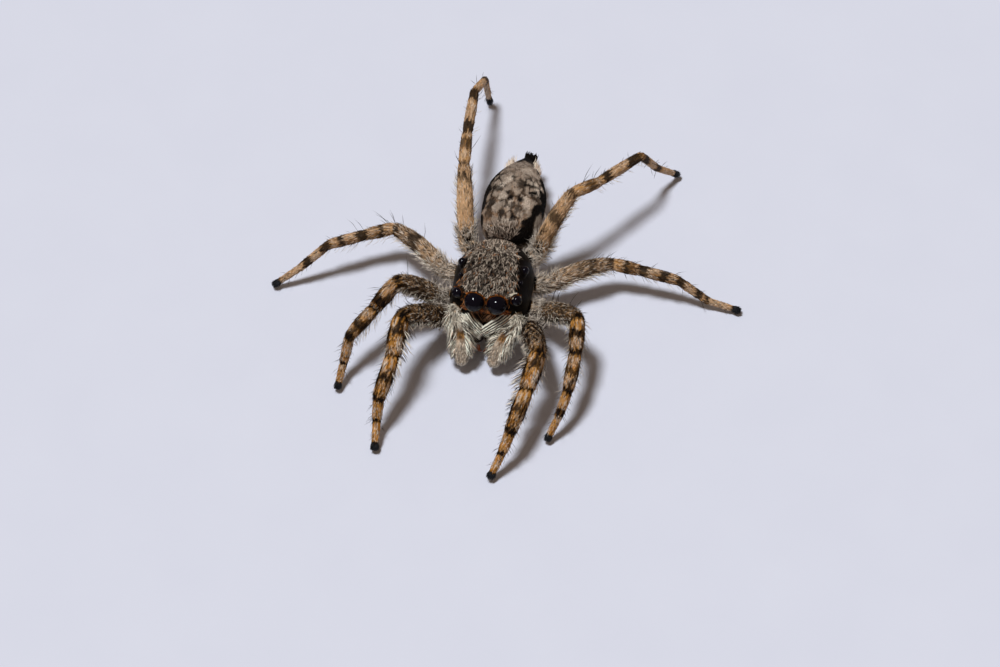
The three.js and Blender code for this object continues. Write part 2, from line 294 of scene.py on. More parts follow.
def heading(side, yaw, pitch):
    out, rise = math.radians(yaw), math.radians(pitch)
    return np.array([side * math.cos(rise) * math.cos(out), -math.cos(rise) * math.sin(out), math.sin(rise)])


def roundedPath(corners, marks, softness, samples):
    # the straight runs between the corners, blurred along their length so that each corner is round
    corners = np.array(corners)
    runs = np.linalg.norm(np.diff(corners, axis=0), axis=1)
    reach = np.concatenate([[0], np.cumsum(runs)])
    s = np.linspace(0, reach[-1], samples)
    blur = np.linspace(-1, 1, 9)
    weight = np.exp(-2 * blur ** 2)
    room = np.minimum(softness, np.minimum(s, reach[-1] - s))
    at = s[:, None] + room[:, None] * blur
    path = np.stack([(np.interp(at, reach, corners[:, k])
                      * weight).sum(1) / weight.sum() for k in range(3)], -1)
    return path, np.interp(s, reach, marks)


def limbFrom(corners, softness, samples, places, radii, marks=None):
    # a limb: its path, the place along it, and at each sample the way along, to the side and to the top
    path, place = roundedPath(corners, range(len(corners)) if marks is None else marks, softness, samples)
    along = unit(np.gradient(path, axis=0))
    out = path[-1] - path[len(path) // 5]
    level = unit(np.array([-out[1], out[0], 0.0])[None])
    sideways = unit(level - dot(level, along) * along)
    return {"path": path, "place": place, "along": along, "sideways": sideways,
            "top": np.cross(along, sideways), "radius": np.interp(place, places, radii)}


def buildLeg(name):
    sideName, number = name.split("_")
    side, pair = sides[sideName], int(number)
    sizes, stance = legPairs[pair], stances[name]
    hip = np.array(sizes["hip"]) * [side, 1, 1]
    joints = [np.array([side * 0.45, hip[1] * 0.62, 0.84]), hip]
    for (yaw, pitch), length in zip(stance[:4], sizes["lengths"]):
        joints.append(joints[-1] + length * heading(side, yaw, pitch))
    drop = min(1, (joints[-1][2] - footHeight) / sizes["lengths"][4])
    joints.append(joints[-1] + sizes["lengths"][4] * heading(side, stance[4], -math.degrees(math.asin(drop))))
    # the thigh is bowed: it rises from the line between hip and knee by a parabola
    share = np.array([0.2, 0.4, 0.6, 0.8])[:, None]
    thigh = joints[2] - joints[1]
    rise = unit(np.array([0, 0, 1.0]) - thigh * thigh[2] / (thigh ** 2).sum())
    bowed = joints[1] + thigh * share + rise * 4 * sizes["bow"] * share * (1 - share)
    leg = limbFrom([*joints[:2], *bowed, *joints[2:]], 0.2, 260, radiusPlaces, legRadii[pair],
                   [-1, 0, *share[:, 0], 1, 2, 3, 4, 5])
    return {**leg, "name": name, "pair": pair}


legs = [buildLeg(name) for name in stances]
legsByName = {leg["name"]: leg for leg in legs}

# Palps: thigh up to the knee, then down to a broad furry end.
palpForm = {
    "base": (0.55, -1.1, 1.0), "knee": (0.98, -1.5, 1.52),
    "wrist": {"left": (0.6, -1.93, 1.03), "right": (0.66, -2.06, 1.05)},
    "tip": {"left": (0.35, -2.57, 0.39), "right": (0.52, -2.66, 0.38)},
    "places": [0, 0.8, 1.0, 1.2, 1.8, 2.0, 2.3, 2.6, 2.9, 3.0],
    "radii": [.16, .15, .13, .15, .14, .15, .2, .205, .175, .15],
}


def buildPalp(sideName):
    f = palpForm
    corners = [f["base"], f["knee"], f["wrist"][sideName], f["tip"][sideName]]
    corners = [np.array(p) * [sides[sideName], 1, 1] for p in corners]
    return limbFrom(corners, 0.22, 120, f["places"], f["radii"])


palps = [buildPalp(name) for name in sides]


def tubeGrid(limb, cols, tall=1.0):
    # a ring of points round each place on the path; the ends shrink to round caps
    path, radius = limb["path"], limb["radius"]
    s = np.concatenate([[0], np.cumsum(np.linalg.norm(np.diff(path, axis=0), axis=1))])
    edge = np.minimum(s, s[-1] - s)
    cap = np.sqrt(np.clip(1 - (1 - np.minimum(1, edge / radius)) ** 2, 0.01, 1))
    angle = np.linspace(0, turn, cols, endpoint=False)[:, None]
    hoop = np.cos(angle) * limb["sideways"][:, None] + tall * np.sin(angle) * limb["top"][:, None]
    return closedGrid(path[:, None] + (radius * cap)[:, None, None] * hoop)


def taperedLimb(start, end, radii, samples=16):
    return limbFrom([start, end], 0.01, samples, np.linspace(0, 1, len(radii)), radii)


# Eyes: centre, radius and the way each looks.
eyes = {
    "front_median": {"centre": (0.336, -1.56, 2.12), "radius": 0.3, "looks": (0.1, -1, 0.16)},
    "front_lateral": {"centre": (0.88, -1.34, 2.17), "radius": 0.165, "looks": (0.55, -0.8, 0.25)},
    "middle": {"centre": (0.9, -0.68, 2.16), "radius": 0.06, "looks": (0.9, -0.1, 0.45)},
    "rear_lateral": {"centre": (0.93, -0.22, 2.17), "radius": 0.13, "looks": (0.9, 0.25, 0.5)},
}


def eyePlaces():
    for name, eye in eyes.items():
        for sideName, side in sides.items():
            mirror = np.array([side, 1, 1])
            yield name, sideName, eye["centre"] * mirror, unit(eye["looks"] * mirror), eye["radius"]


def ringAround(centre, facing, ringRadius, thickness, cols=28, rows=10):
    # a round welt: a circle carried round the eye's axis
    side = unit(np.cross(facing, [0, 0, 1.0]))
    up = np.cross(side, facing)
    about = np.linspace(0, turn, cols, endpoint=False)[:, None]
    roll = np.linspace(0, turn, rows, endpoint=False)[None, :]
    out = np.cos(about)[..., None] * side + np.sin(about)[..., None] * up
    grid = (centre + out * (ringRadius + thickness * np.cos(roll))[..., None]
            + (thickness * np.sin(roll))[..., None] * facing)
    r, c = np.meshgrid(np.arange(cols), np.arange(rows), indexing="ij")
    nextRow, nextCol = (r + 1) % cols * rows, (c + 1) % rows
    a, b, d, e = r * rows + c, r * rows + nextCol, nextRow + c, nextRow + nextCol
    faces = np.concatenate([np.stack([a, d, e], -1).reshape(-1, 3), np.stack([a, e, b], -1).reshape(-1, 3)])
    verts = grid.reshape(-1, 3)
    return verts, facingOut(verts, faces)


print("forms ready:", len(legs), "legs,", len(palps), "palps,", len(eyes), "pairs of eyes")

# One skin over every flesh form.
skinSettings = {"voxel": 0.041, "smoothRounds": 3, "welt": 0.045, "weltBack": 0.28}
spinneretForm = {"length": 0.3, "radius": 0.1, "spread": 0.09,
                 "fingers": ((-1, 0.5), (1, 0.5), (-0.8, -0.7), (0.8, -0.7), (0, 0.1))}


def skinParts():
    yield bodyGrid(carapaceSurface, 64, 76)
    yield bodyGrid(abdomenSurface, 56, 60)
    yield bodyGrid(sternumSurface, 30, 36)
    for leg in legs:
        yield tubeGrid(leg, 20, 1.06)
    for palp in palps:
        yield tubeGrid(palp, 18)
    yield tubeGrid(taperedLimb((0, 1.0, 1.12), (abdomenForm["shiftX"], 1.9, 1.18), (0.2, 0.2)), 16)
    f = spinneretForm
    tail = np.array([abdomenForm["shiftX"] + abdomenForm["tailX"],
                     abdomenForm["widestY"] + abdomenForm["rear"], 1.12])
    for across, up in f["fingers"]:
        root = tail + [across * f["spread"], -0.12 - f["length"], up * 0.05]
        tip = root + [across * 0.05, f["length"], up * 0.06]
        yield tubeGrid(taperedLimb(root, tip, (1.1 * f["radius"], 0.6 * f["radius"])), 12)
    for name, sideName, centre, facing, radius in eyePlaces():
        behind = centre * [0.72, 1, 1] + [0, 0.35, -0.45]
        stalk = taperedLimb(behind, centre - facing * radius * 0.45, (radius * 1.4, radius * 1.02))
        yield tubeGrid(stalk, 16)
        if name != "middle":
            yield ringAround(centre - facing * radius * skinSettings["weltBack"], facing, radius,
                             skinSettings["welt"])


def unitedSkin():
    # every flesh form in one mesh, then one closed skin over them all
    verts, faces, count = [], [], 0
    for v, f in skinParts():
        verts.append(v)
        faces.append(f + count)
        count += len(v)
    rough = meshFrom("roughSkin", np.concatenate(verts), np.concatenate(faces))
    union = rough.modifiers.new("union", "REMESH")
    union.mode = "VOXEL"
    union.voxel_size = skinSettings["voxel"]
    soften = rough.modifiers.new("soften", "SMOOTH")
    soften.iterations = skinSettings["smoothRounds"]
    soften.factor = 0.5
    seen = rough.evaluated_get(bpy.context.evaluated_depsgraph_get()).to_mesh()
    place = np.empty(len(seen.vertices) * 3, np.float32)
    seen.vertices.foreach_get("co", place)
    corners = np.empty(len(seen.loops), np.int32)
    seen.loops.foreach_get("vertex_index", corners)
    bpy.data.objects.remove(rough)
    return place.reshape(-1, 3).astype(float), corners.reshape(-1, 4)


# Markings, shared by the skin and every hair. Rings along each leg are (start, end, strength), and its
# lights are (start, end).
legRings = {
    "left_1": [(0.5, 0.62, 0.6), (1.0, 1.13, 1), (1.3, 1.45, 0.5), (1.98, 2.08, 0.9), (2.42, 2.58, 0.55),
               (2.95, 3.12, 0.9), (3.94, 4.08, 0.8)],
    "right_1": [(0.5, 0.62, 0.6), (0.95, 1.12, 0.9), (1.35, 1.52, 0.6), (1.99, 2.08, 1), (2.45, 2.6, 0.6),
                (2.95, 3.1, 0.9), (3.9, 4.08, 0.9)],
    "left_2": [(0.5, 0.6, 0.6), (0.74, 0.86, 0.7), (0.97, 1.12, 1), (1.42, 1.64, 0.85), (1.98, 2.14, 1),
               (2.5, 2.64, 0.6), (2.98, 3.17, 1), (3.7, 4.0, 0.7)],
    "right_2": [(0.52, 0.68, 0.6), (0.95, 1.07, 1), (1.56, 1.88, 0.8), (2.0, 2.14, 1), (2.5, 2.72, 0.6),
                (2.94, 3.14, 1), (3.72, 3.8, 0.5), (3.95, 4.1, 0.9)],
    "left_3": [(0.45, 0.55, 0.5), (0.62, 0.72, 0.8), (0.95, 1.05, 0.6), (1.42, 1.58, 0.85), (1.66, 1.8, 0.4),
               (1.96, 2.2, 1), (2.52, 2.75, 0.8), (2.97, 3.22, 1), (3.55, 3.75, 0.8), (3.86, 4.0, 0.7)],
    "right_3": [(0.5, 0.7, 0.8), (0.86, 0.98, 0.6), (1.35, 1.58, 0.7), (2.0, 2.25, 1), (2.6, 2.75, 0.8),
                (2.97, 3.22, 1), (3.62, 3.88, 0.8)],
    "left_4": [(0.3, 0.4, 0.4), (0.55, 0.7, 0.7), (0.98, 1.05, 0.7), (1.45, 1.8, 0.5), (2.08, 2.24, 1),
               (2.66, 2.98, 0.8), (3.05, 3.35, 0.9), (3.8, 4.05, 0.8)],
    "right_4": [(0.77, 0.88, 0.9), (0.98, 1.05, 0.6), (1.45, 1.85, 0.55), (2.0, 2.25, 1), (2.75, 3.05, 0.75),
                (3.8, 4.1, 0.7)],
}
legLights = {
    "left_1": [(0.8, 0.97), (1.84, 1.96)], "right_1": [(0.78, 0.92), (1.86, 1.98)],
    "left_2": [(0.62, 0.72), (1.75, 1.95), (2.2, 2.4), (2.72, 2.94)],
    "right_2": [(0.72, 0.93), (1.1, 1.5), (2.2, 2.46), (2.8, 2.92), (3.2, 3.55)],
    "left_3": [(0.76, 0.93), (2.25, 2.48), (2.8, 2.94), (3.27, 3.5), (4.05, 4.6)],
    "right_3": [(1.05, 1.28), (1.7, 1.95), (2.3, 2.55), (2.8, 2.94), (3.27, 3.58), (4.0, 4.65)],
    "left_4": [(0.78, 0.96), (1.86, 2.05), (2.28, 2.6), (3.42, 3.75), (4.15, 4.7)],
    "right_4": [(0.9, 0.97), (1.1, 1.38), (1.88, 1.98), (2.3, 2.7), (4.2, 4.7)],
}
tuftStart = 4.77  # the black foot tuft starts here


# One value for each pair of legs, from the front pair to the rear pair: marks first, then hair.
legLooks = {
    "front": (1.0, 0.9, 0.5, 0.35), "thighRings": (0.4, 0.35, 0.2, 0.25), "pale": (0.0, 0.05, 0.4, 0.35),
    "speckleFrom": (-0.6, -0.5, -0.2, -0.2), "speckleTo": (0.1, 0.2, 0.4, 0.4),
    "speckles": (1.0, 0.85, 0.4, 0.1),
    "thighPale": (0.4, 0.45, 0.5, 0.42), "rust": (0.38, 0.3, 0.15, 0.15), "thighRust": (0.8, 0.75, 0.6, 0),
    "darkest": (1, 1, 0.93, 0.93), "rootPale": (0.25, 0.7, 0.8, 0.5), "rootDark": (0.4, 1, 1, 1),
    "thighWhite": (0.72, 0.64, 0.78, 0.94), "shankWhite": (0.84, 0.82, 0.9, 0.94),
    "thighBlack": (0.5, 0.42, 0.25, 0.06), "shankBlack": (0.12, 0.12, 0.06, 0.03),
    "footBlack": (0.06, 0.06, 0.03, 0.02), "thighLift": (16, 16, 10, 7), "shankLift": (7, 10, 10, 7),
    "coat": (7600, 7000, 7000, 7000), "fringe": (260, 220, 90, 60), "comb": (70, 0, 0, 0),
    "underThigh": (260, 260, 260, 260), "underThighBlack": (0.35, 0.35, 0.1, 0.1),
    "fuzz": (520, 520, 520, 520), "fuzzBlack": (0.5, 0.2, 0.1, 0.15),
    "sideBristles": (210, 170, 60, 40), "tallBristles": (9, 9, 10, 6),
}


def looksOf(pair):
    return {key: values[pair - 1] for key, values in legLooks.items()}


def legMarks(leg, place, angle, points):
    # rings with brown edges and pale patches by the place along the leg, streaks along it, a thigh of its own
    pair = leg["pair"]
    look = looksOf(pair)
    front = look["front"]
    # streaks: noise over a rolled-out leg, stretched along it
    rolled = np.stack([np.cos(angle), np.sin(angle), 1.3 * place], -1)
    blotch, streak = ripple(rolled, 0.9, 61 + pair), ripple(rolled, 0.6, 71 + pair)
    fine = ripple(rolled * [1, 1, 0.4], 0.45, 81 + pair)
    edge = place + 0.05 * ripple(rolled, 0.5, 5) + 0.02 * fine + 0.025 * np.sin(2 * angle + 3 * place)
    thigh = 1 - fade(0.8, 1.0, place + 0.08 * blotch)
    dark = np.zeros_like(place)
    for start, end, strength in legRings[leg["name"]]:
        dark = np.maximum(dark, min(1, 1.3 * strength) * band(start, end, 0.03, edge))
    worn = 0.75 + 0.25 * fade(-0.7, 0.1, blotch)
    rings = np.minimum(1, 1.25 * dark * (1 - look["thighRings"] * thigh) * worn)
    shank = (1 - thigh) * (1 - fade(3.0, 3.3, place) * 0.7)
    dark = np.maximum(rings, (0.2 + 0.3 * front) * fade(0.45, 0.8, fine) * shank)
    dark = np.maximum(dark, front * 0.95 * fade(0.5, 0.7, blotch) * shank)
    # dark patches on both sides of each part below the thigh, and silver lines along its top, partly pale
    # hair and partly painted highlights of glossy hair
    flanks = fade(0.5, 0.8, np.abs(np.cos(angle)) + 0.15 * fine)
    flanks = flanks * band(0.3, 0.78, 0.1, place % 1 + 0.1 * streak)
    dark = np.maximum(dark, front * flanks * (1 - thigh) * fade(3.2, 3.0, place))
    pale = look["pale"] + 0.2 * ripple(rolled, 0.7, 63)
    for start, end in legLights[leg["name"]]:
        pale = np.maximum(pale, 0.6 * band(start, end, 0.03, edge) * fade(0.6, -0.2, streak))
    # pale streaks: partly white hair, partly painted highlights
    lights = np.maximum(fade(0.55, 0.9, streak), 0.9 * fade(0.4, 0.75, -fine)) * (1 - thigh) * (1 - rings)
    pale, dark = np.maximum(pale, front * lights), dark * (1 - 0.6 * lights)
    speckle = fade(look["speckleFrom"], look["speckleTo"], ripple(points, 0.14, 31 + pair))
    dark = np.maximum(dark, thigh * look["speckles"] * speckle)
    pale = np.where(thigh > 0.5, np.maximum(pale * 0.6, look["thighPale"]), pale)
    pale = np.clip(np.maximum(pale, 0.8 * fade(0.3, 0.9, -np.sin(angle))), 0, 1)
    rust = look["rust"] + 0.45 * front * fade(0.0, 0.8, ripple(points, 0.35, 51 + pair))
    rust = np.clip(rust * (1 - 0.8 * pale) * (1 - look["thighRust"] * thigh), 0, 1)
    rust = np.maximum(rust, 0.55 * hump(0.45, 0.42, dark) * (1 - 0.6 * thigh))
    dark = dark * look["darkest"]
    dark = np.maximum(dark, fade(tuftStart - 0.06, tuftStart, place))
    root = fade(0.2, -0.1, place)
    pale = pale + (look["rootPale"] - pale) * root
    return np.clip(dark * (1 - root * look["rootDark"]), 0, 1), pale, rust * (1 - root)


def palpMarks(place, angle, points):
    # white, with a fawn stripe down the top of the thin part and warm tones on the broad end
    topSide = fade(0.3, 0.95, np.sin(angle))
    stripe = topSide * (band(1.72, 2.1, 0.05, place)
                        + 0.6 * band(1.1, 1.7, 0.05, place) * fade(0.1, 0.6, ripple(points, 0.2, 87)))
    warm = band(2.1, 2.9, 0.12, place) * fade(0.1, 0.9, np.sin(angle))
    dark = 0.55 * stripe * fade(-0.5, 0.3, ripple(points, 0.2, 85))
    lines = fade(0.2, 0.6, ripple(np.stack([np.cos(angle), np.sin(angle), 0.8 * place], -1), 0.45, 86))
    dark = np.maximum(dark, 0.4 * lines * fade(0.7, 0.9, place) * fade(2.95, 2.7, place))
    return dark, np.clip(1 - stripe - 0.2 * warm, 0, 1), np.clip(0.15 * stripe + 0.06 * warm, 0, 1)


def carapaceMarks(points):
    # grey-fawn with black thin places, cream ahead, rust at its side edges and about the front eyes
    x, y, z = points.T
    across = np.abs(x) / np.maximum(0.2, carapaceSizes(y)[0])
    thin = np.maximum(hump(0, 1, np.hypot((x - 0.12) / 0.3, (y + 0.56) / 0.17)),
                      hump(0, 1, np.hypot((x - 0.42) / 0.22, (y + 0.12) / 0.14)))
    thin = np.maximum(thin, hump(0, 1, np.hypot((x + 0.5) / 0.24, (y - 0.02) / 0.1)))
    thin = np.maximum(thin, hump(0, 1, np.hypot((np.abs(x) - 0.86) / 0.16, (y + 0.5) / 0.34)))
    thin = np.maximum(thin, 0.9 * fade(0.1, 0.7, ripple(points * [1, 1, 0], 0.3, 3)) * fade(0.3, -0.1, y))
    thin = np.maximum(thin, 0.5 * fade(0.3, 0.9, ripple(points * [1, 1, 0], 0.22, 4)))
    edgeRust = fade(0.6, 0.72, across) * fade(0.35, 0.1, y)
    frontRust = fade(-1.33, -1.43, y)
    rust = np.maximum(edgeRust * 0.6, frontRust) + 0.12 * fade(0.3, 0.9, ripple(points, 0.25, 8))
    pale = 0.5 + 0.3 * fade(-0.4, -1.2, y) + 0.25 * ripple(points, 0.4, 12)
    return np.clip(thin, 0, 1), np.clip(pale, 0, 1), np.clip(rust, 0, 1)


# Dark spots and pale patches of the abdomen: side step from its middle line, place along, half width,
# half length, turn in degrees and strength.
abdomenSpots = [
    (-0.06, 2.4, 0.07, 0.12, -35, 1.0), (0.23, 2.42, 0.08, 0.12, 30, 1.0), (0.2, 2.06, 0.06, 0.14, -10, 0.75),
    (-0.24, 1.86, 0.09, 0.11, 30, 0.9), (-0.25, 1.7, 0.05, 0.1, 0, 0.9), (0.13, 1.74, 0.06, 0.12, -20, 0.85),
    (-0.6, 1.9, 0.07, 0.12, 0, 0.7), (-0.5, 2.74, 0.17, 0.08, -25, 0.85), (-0.62, 2.22, 0.12, 0.15, 0, 0.9),
    (0.56, 2.76, 0.13, 0.06, 35, 1.0), (0.72, 2.66, 0.1, 0.05, 60, 0.9), (-0.3, 2.25, 0.05, 0.12, 20, 0.5),
    (0.1, 2.9, 0.05, 0.16, 15, 0.5), (0.3, 3.3, 0.12, 0.05, 30, 0.45), (-0.2, 3.5, 0.12, 0.05, -30, 0.4),
    (0.42, 2.0, 0.05, 0.13, 0, 0.5),
]
abdomenLights = [
    (-0.42, 2.85, 0.1, 0.17, -35, 1.0), (-0.22, 3.12, 0.1, 0.2, -35, 0.95), (0.54, 3.12, 0.12, 0.13, 30, 0.9),
    (0.72, 2.95, 0.12, 0.2, 20, 1.0), (-0.3, 2.45, 0.13, 0.2, -25, 0.85), (0.42, 2.3, 0.12, 0.26, 10, 0.75),
    (-0.06, 2.12, 0.11, 0.2, -15, 0.6), (0.24, 3.66, 0.2, 0.2, 0, 0.55), (-0.5, 2.05, 0.07, 0.14, 0, 0.6),
    (0.0, 1.6, 0.28, 0.12, 0, 0.9), (0.3, 1.9, 0.1, 0.1, 0, 0.6),
]
abdomenFlank = [(0.87, 1.92, 0.13, 0.42, -10, 0.9)]


def cells(u, v, size, seed):
    # a mosaic of jittered cells: the share of a border at each point, and the random tone of its cell
    pick = np.random.default_rng(seed).uniform(0, 1, (3, 64, 64))
    column, row = np.floor(u / size).astype(int), np.floor(v / size).astype(int)
    nearest, second, tone = np.full(u.shape, 9.0), np.full(u.shape, 9.0), np.zeros(u.shape)
    for stepU in (-1, 0, 1):
        for stepV in (-1, 0, 1):
            i, j = (column + stepU) % 64, (row + stepV) % 64
            away = np.hypot(column + stepU + pick[0, i, j] - u / size, row + stepV + pick[1, i, j] - v / size)
            nearer = away < nearest
            second = np.where(nearer, nearest, np.minimum(second, away))
            tone = np.where(nearer, pick[2, i, j], tone)
            nearest = np.minimum(nearest, away)
    return 1 - fade(0.06, 0.32, second - nearest), tone


def patches(spots, step, y, grow, wobble):
    # the strongest of a list of soft turned ovals at each point
    best = np.zeros_like(step)
    for sx, sy, w, h, degrees, strength in spots:
        c, s = math.cos(math.radians(degrees)), math.sin(math.radians(degrees))
        dx, dy = step - sx, y - sy
        near = np.hypot((dx * c + dy * s) / (w * grow), (dy * c - dx * s) / (h * grow)) + wobble
        best = np.maximum(best, strength * (1 - fade(0.6, 1.1, near)))
    return best


def abdomenMarks(points):
    # a taupe mosaic with cream patches and dark spots, black side bands, pale flanks and a black end; the
    # black at the front of the +X side is partly the band and partly painted shade
    f = abdomenForm
    x, y, z = points.T
    fullness, middle, height = abdomenSizes(y)
    step = x - middle
    across = np.abs(step) / (f["halfWidth"] * np.maximum(fullness, 0.12))
    warp = np.stack([ripple(points, 0.35, 23), ripple(points, 0.35, 24)]) * 0.05
    border, tone = cells(step + warp[0], (y + warp[1]) * 0.75, 0.24, 25)
    scallop = 0.04 * np.cos((y - 2.55) / 0.55 * turn) + 0.05 * ripple(points, 0.3, 21)
    right = step > 0
    # on the +X side the black reaches further in towards the front: partly the side band, partly painted
    # shade beside the hind leg
    edge = scallop + np.where(right,
                              np.interp(y, (1.2, 1.75, 2.05, 2.35, 2.6, 3.2),
                                        (0.46, 0.52, 0.6, 0.67, 0.74, 0.79)),
                              np.interp(y, (1.5, 2.0, 2.8, 3.6), (0.96, 0.84, 0.71, 0.7)))
    above = fade(-0.2, 0.1, z - height)
    top = 1 - fade(edge - 0.02, edge + 0.03, across)
    flank = (fade(0.93, 0.97, across + 0.02 * ripple(points, 0.3, 41)) * fade(2.75, 2.5, y)
             * fade(1.5, 1.7, y) * ~right)
    flank = np.maximum(flank, right * patches(abdomenFlank, step, y, 1.0, 0.1 * ripple(points, 0.3, 45)))
    flank = np.maximum(flank, 1 - above) * fade(4.3, 4.0, y)
    dark = (0.82 * border * fade(-0.5, 0.4, ripple(points, 0.5, 29)) * (1 - 0.75 * fade(3.2, 3.6, y))
            + 0.25 * (tone > 0.75))
    dark = np.maximum(dark, patches(abdomenSpots, step, y, 1.4, 0.2 * ripple(points, 0.13, 27)))
    dark = np.maximum(dark * top, 1 - top) * (1 - flank) + 0.15 * flank
    dark = np.maximum(dark, fade(4.2, 4.36, y + 0.3 * np.abs(step) + 0.1 * ripple(points, 0.2, 43)))
    lights = patches(abdomenLights, step, y, 1.25, 0.25 * ripple(points, 0.17, 33))
    pale = np.maximum((0.14 + 0.35 * tone) * (1 - border), lights) * (1 - flank) + 0.6 * flank
    rust = (0.04 + 0.2 * border * fade(3.2, 2.2, y) + 0.1 * fade(2.1, 1.6, y)
            + 0.15 * fade(0.2, 0.9, ripple(points, 0.3, 39)) * fade(3.0, 2.0, y))
    return np.clip(dark, 0, 1), np.clip(pale, 0, 1), np.clip(rust * (1 - lights) * (1 - flank), 0, 1)


def nearestOnPath(points, limb, step=2):
    # the nearest sample of a limb's path to every point, and how many radii away it is
    path = limb["path"][::step]
    away, nearest = np.full(len(points), 9.0), np.zeros(len(points), int)
    inside = np.flatnonzero(((points > path.min(0) - 0.5) & (points < path.max(0) + 0.5)).all(1))
    p = points[inside]
    gap = (p ** 2).sum(1)[:, None] + (path ** 2).sum(1)[None] - 2 * p @ path.T
    best = gap.argmin(1)
    nearest[inside] = best * step
    away[inside] = np.sqrt(np.maximum(0, gap[np.arange(len(p)), best])) / limb["radius"][::step][best]
    return nearest, away


def skinMarks(points):
    # dark, pale, rust and gloss of the bare skin
    x, y, z = points.T
    n = len(points)
    dark, pale, rust, gloss = np.full(n, 0.4), np.full(n, 0.8), np.full(n, 0.05), np.full(n, 0.3)
    onCarapace = (z > 1.0) & (y < 1.5) & (np.abs(x) < 1.24)
    onAbdomen = (y > 1.5) & (np.abs(x - 0.1) < 1.05)
    abdomen = abdomenMarks(points)
    dark = np.where(onCarapace, 1.0, np.where(onAbdomen, abdomen[0], dark))
    pale = np.where(onCarapace, 0.0, np.where(onAbdomen, abdomen[1], pale))
    rust = np.where(onAbdomen, abdomen[2], rust)
    gloss = np.where(onCarapace, 1.0, gloss)
    best = np.full(n, 1.45)
    for limb in legs + palps:
        nearest, away = nearestOnPath(points, limb)
        place = limb["place"][nearest]
        offset = points - limb["path"][nearest]
        angle = np.arctan2((offset * limb["top"][nearest]).sum(1),
                           (offset * limb["sideways"][nearest]).sum(1))
        mine = (away < best) & (place > -0.7) & ~(onCarapace & (place < 0.6))
        best = np.where(mine, away, best)
        if "pair" in limb:
            marks = legMarks(limb, place, angle, points)
        else:
            marks = palpMarks(place, angle, points)
        dark, pale, rust = (np.where(mine, new, old) for new, old in zip(marks, (dark, pale, rust)))
        gloss = np.where(mine, 0.5, gloss)
    for name, sideName, centre, facing, radius in eyePlaces():
        if name.startswith("front"):
            away = np.linalg.norm(points - centre, axis=1) / radius
            ring = 1 - fade(1.05, 1.11, away)
            dark = dark * (1 - (0.35 if "median" in name else 0.25) * ring)
            pale, rust = pale * (1 - ring), np.maximum(rust, ring)
    clypeus = band(1.72, 1.84, 0.03, z + 0.06 * np.abs(x)) * (y < -1.3) * (np.abs(x) < 0.75)
    dark, rust = dark * (1 - 0.2 * clypeus), np.maximum(rust, clypeus)
    return dark, pale, rust, gloss


# Shader groups and finishes.
coatColours = {
    "Ground": (0.57, 0.295, 0.082, 1), "Deep": (0.016, 0.007, 0.003, 1),
    "Cream": (0.69, 0.6, 0.5, 1), "Orange": (0.46, 0.18, 0.022, 1),
}


def join(tree, source, socket):
    # links a socket, or sets the plain value
    if hasattr(source, "is_output"):
        tree.links.new(source, socket)
    else:
        socket.default_value = source


def addNode(tree, kind, links=None, **values):
    node = tree.nodes.new(kind)
    for key, value in values.items():
        setattr(node, key, value)
    for socket, source in (links or {}).items():
        join(tree, source, node.inputs[socket])
    return node


def mixColour(tree, factor, a, b, blend="MIX"):
    return addNode(tree, "ShaderNodeMix", {0: factor, 6: a, 7: b}, data_type="RGBA",
                   blend_type=blend).outputs[2]


def mathNode(tree, operation, *values):
    return addNode(tree, "ShaderNodeMath", dict(enumerate(values)), operation=operation).outputs[0]


def newGroup(name, inputs, outputs):
    group = bpy.data.node_groups.new(name, "ShaderNodeTree")
    for label, kind, value in inputs:
        group.interface.new_socket(label, in_out="INPUT", socket_type=kind).default_value = value
    for label, kind in outputs:
        group.interface.new_socket(label, in_out="OUTPUT", socket_type=kind)
    return group, group.nodes.new("NodeGroupInput").outputs, group.nodes.new("NodeGroupOutput").inputs


def markingsGroup():
    # turns the dark, pale and rust shares into a colour, lighter or darker by the tone
    shares = [(label, "NodeSocketFloat", 0.5) for label in ("Dark", "Pale", "Rust", "Tone")]
    colours = [(label, "NodeSocketColor", value) for label, value in coatColours.items()]
    group, given, made = newGroup("markings", shares + colours, [("Colour", "NodeSocketColor")])
    colour = mixColour(group, given["Pale"], given["Ground"], given["Cream"])
    colour = mixColour(group, given["Rust"], colour, given["Orange"])
    colour = mixColour(group, given["Dark"], colour, given["Deep"])
    light = mathNode(group, "MULTIPLY_ADD", given["Tone"], 1.5, 0.25)
    grey = addNode(group, "ShaderNodeCombineColor", {0: light, 1: light, 2: light}).outputs[0]
    shaded = mixColour(group, 1.0, colour, grey, "MULTIPLY")
    shaded.node.clamp_result = True
    join(group, shaded, made["Colour"])
    return group


def cuticleGroup():
    # fine wrinkles and pores, as a height and as a share for roughness and tone
    group, given, made = newGroup("cuticle",
                                  [("Scale", "NodeSocketFloat", 9000.0), ("Depth", "NodeSocketFloat", 1.0)],
                                  [("Height", "NodeSocketFloat"), ("Wear", "NodeSocketFloat")])
    place = addNode(group, "ShaderNodeTexCoord").outputs["Object"]
    fine = addNode(group, "ShaderNodeTexNoise", {"Vector": place, "Scale": given["Scale"], "Detail": 4.0})
    cells = addNode(group, "ShaderNodeTexVoronoi", {"Vector": place, "Scale": given["Scale"]})
    height = mathNode(group, "ADD", fine.outputs[0], cells.outputs["Distance"])
    join(group, mathNode(group, "MULTIPLY", height, given["Depth"]), made["Height"])
    join(group, fine.outputs[0], made["Wear"])
    return group


markings, cuticle = markingsGroup(), cuticleGroup()


def newMaterial(name, **shader):
    material = bpy.data.materials.new(name)
    material.use_nodes = True
    surface = material.node_tree.nodes["Principled BSDF"]
    for label, value in shader.items():
        surface.inputs[label.replace("_", " ")].default_value = value
    return material, material.node_tree, surface


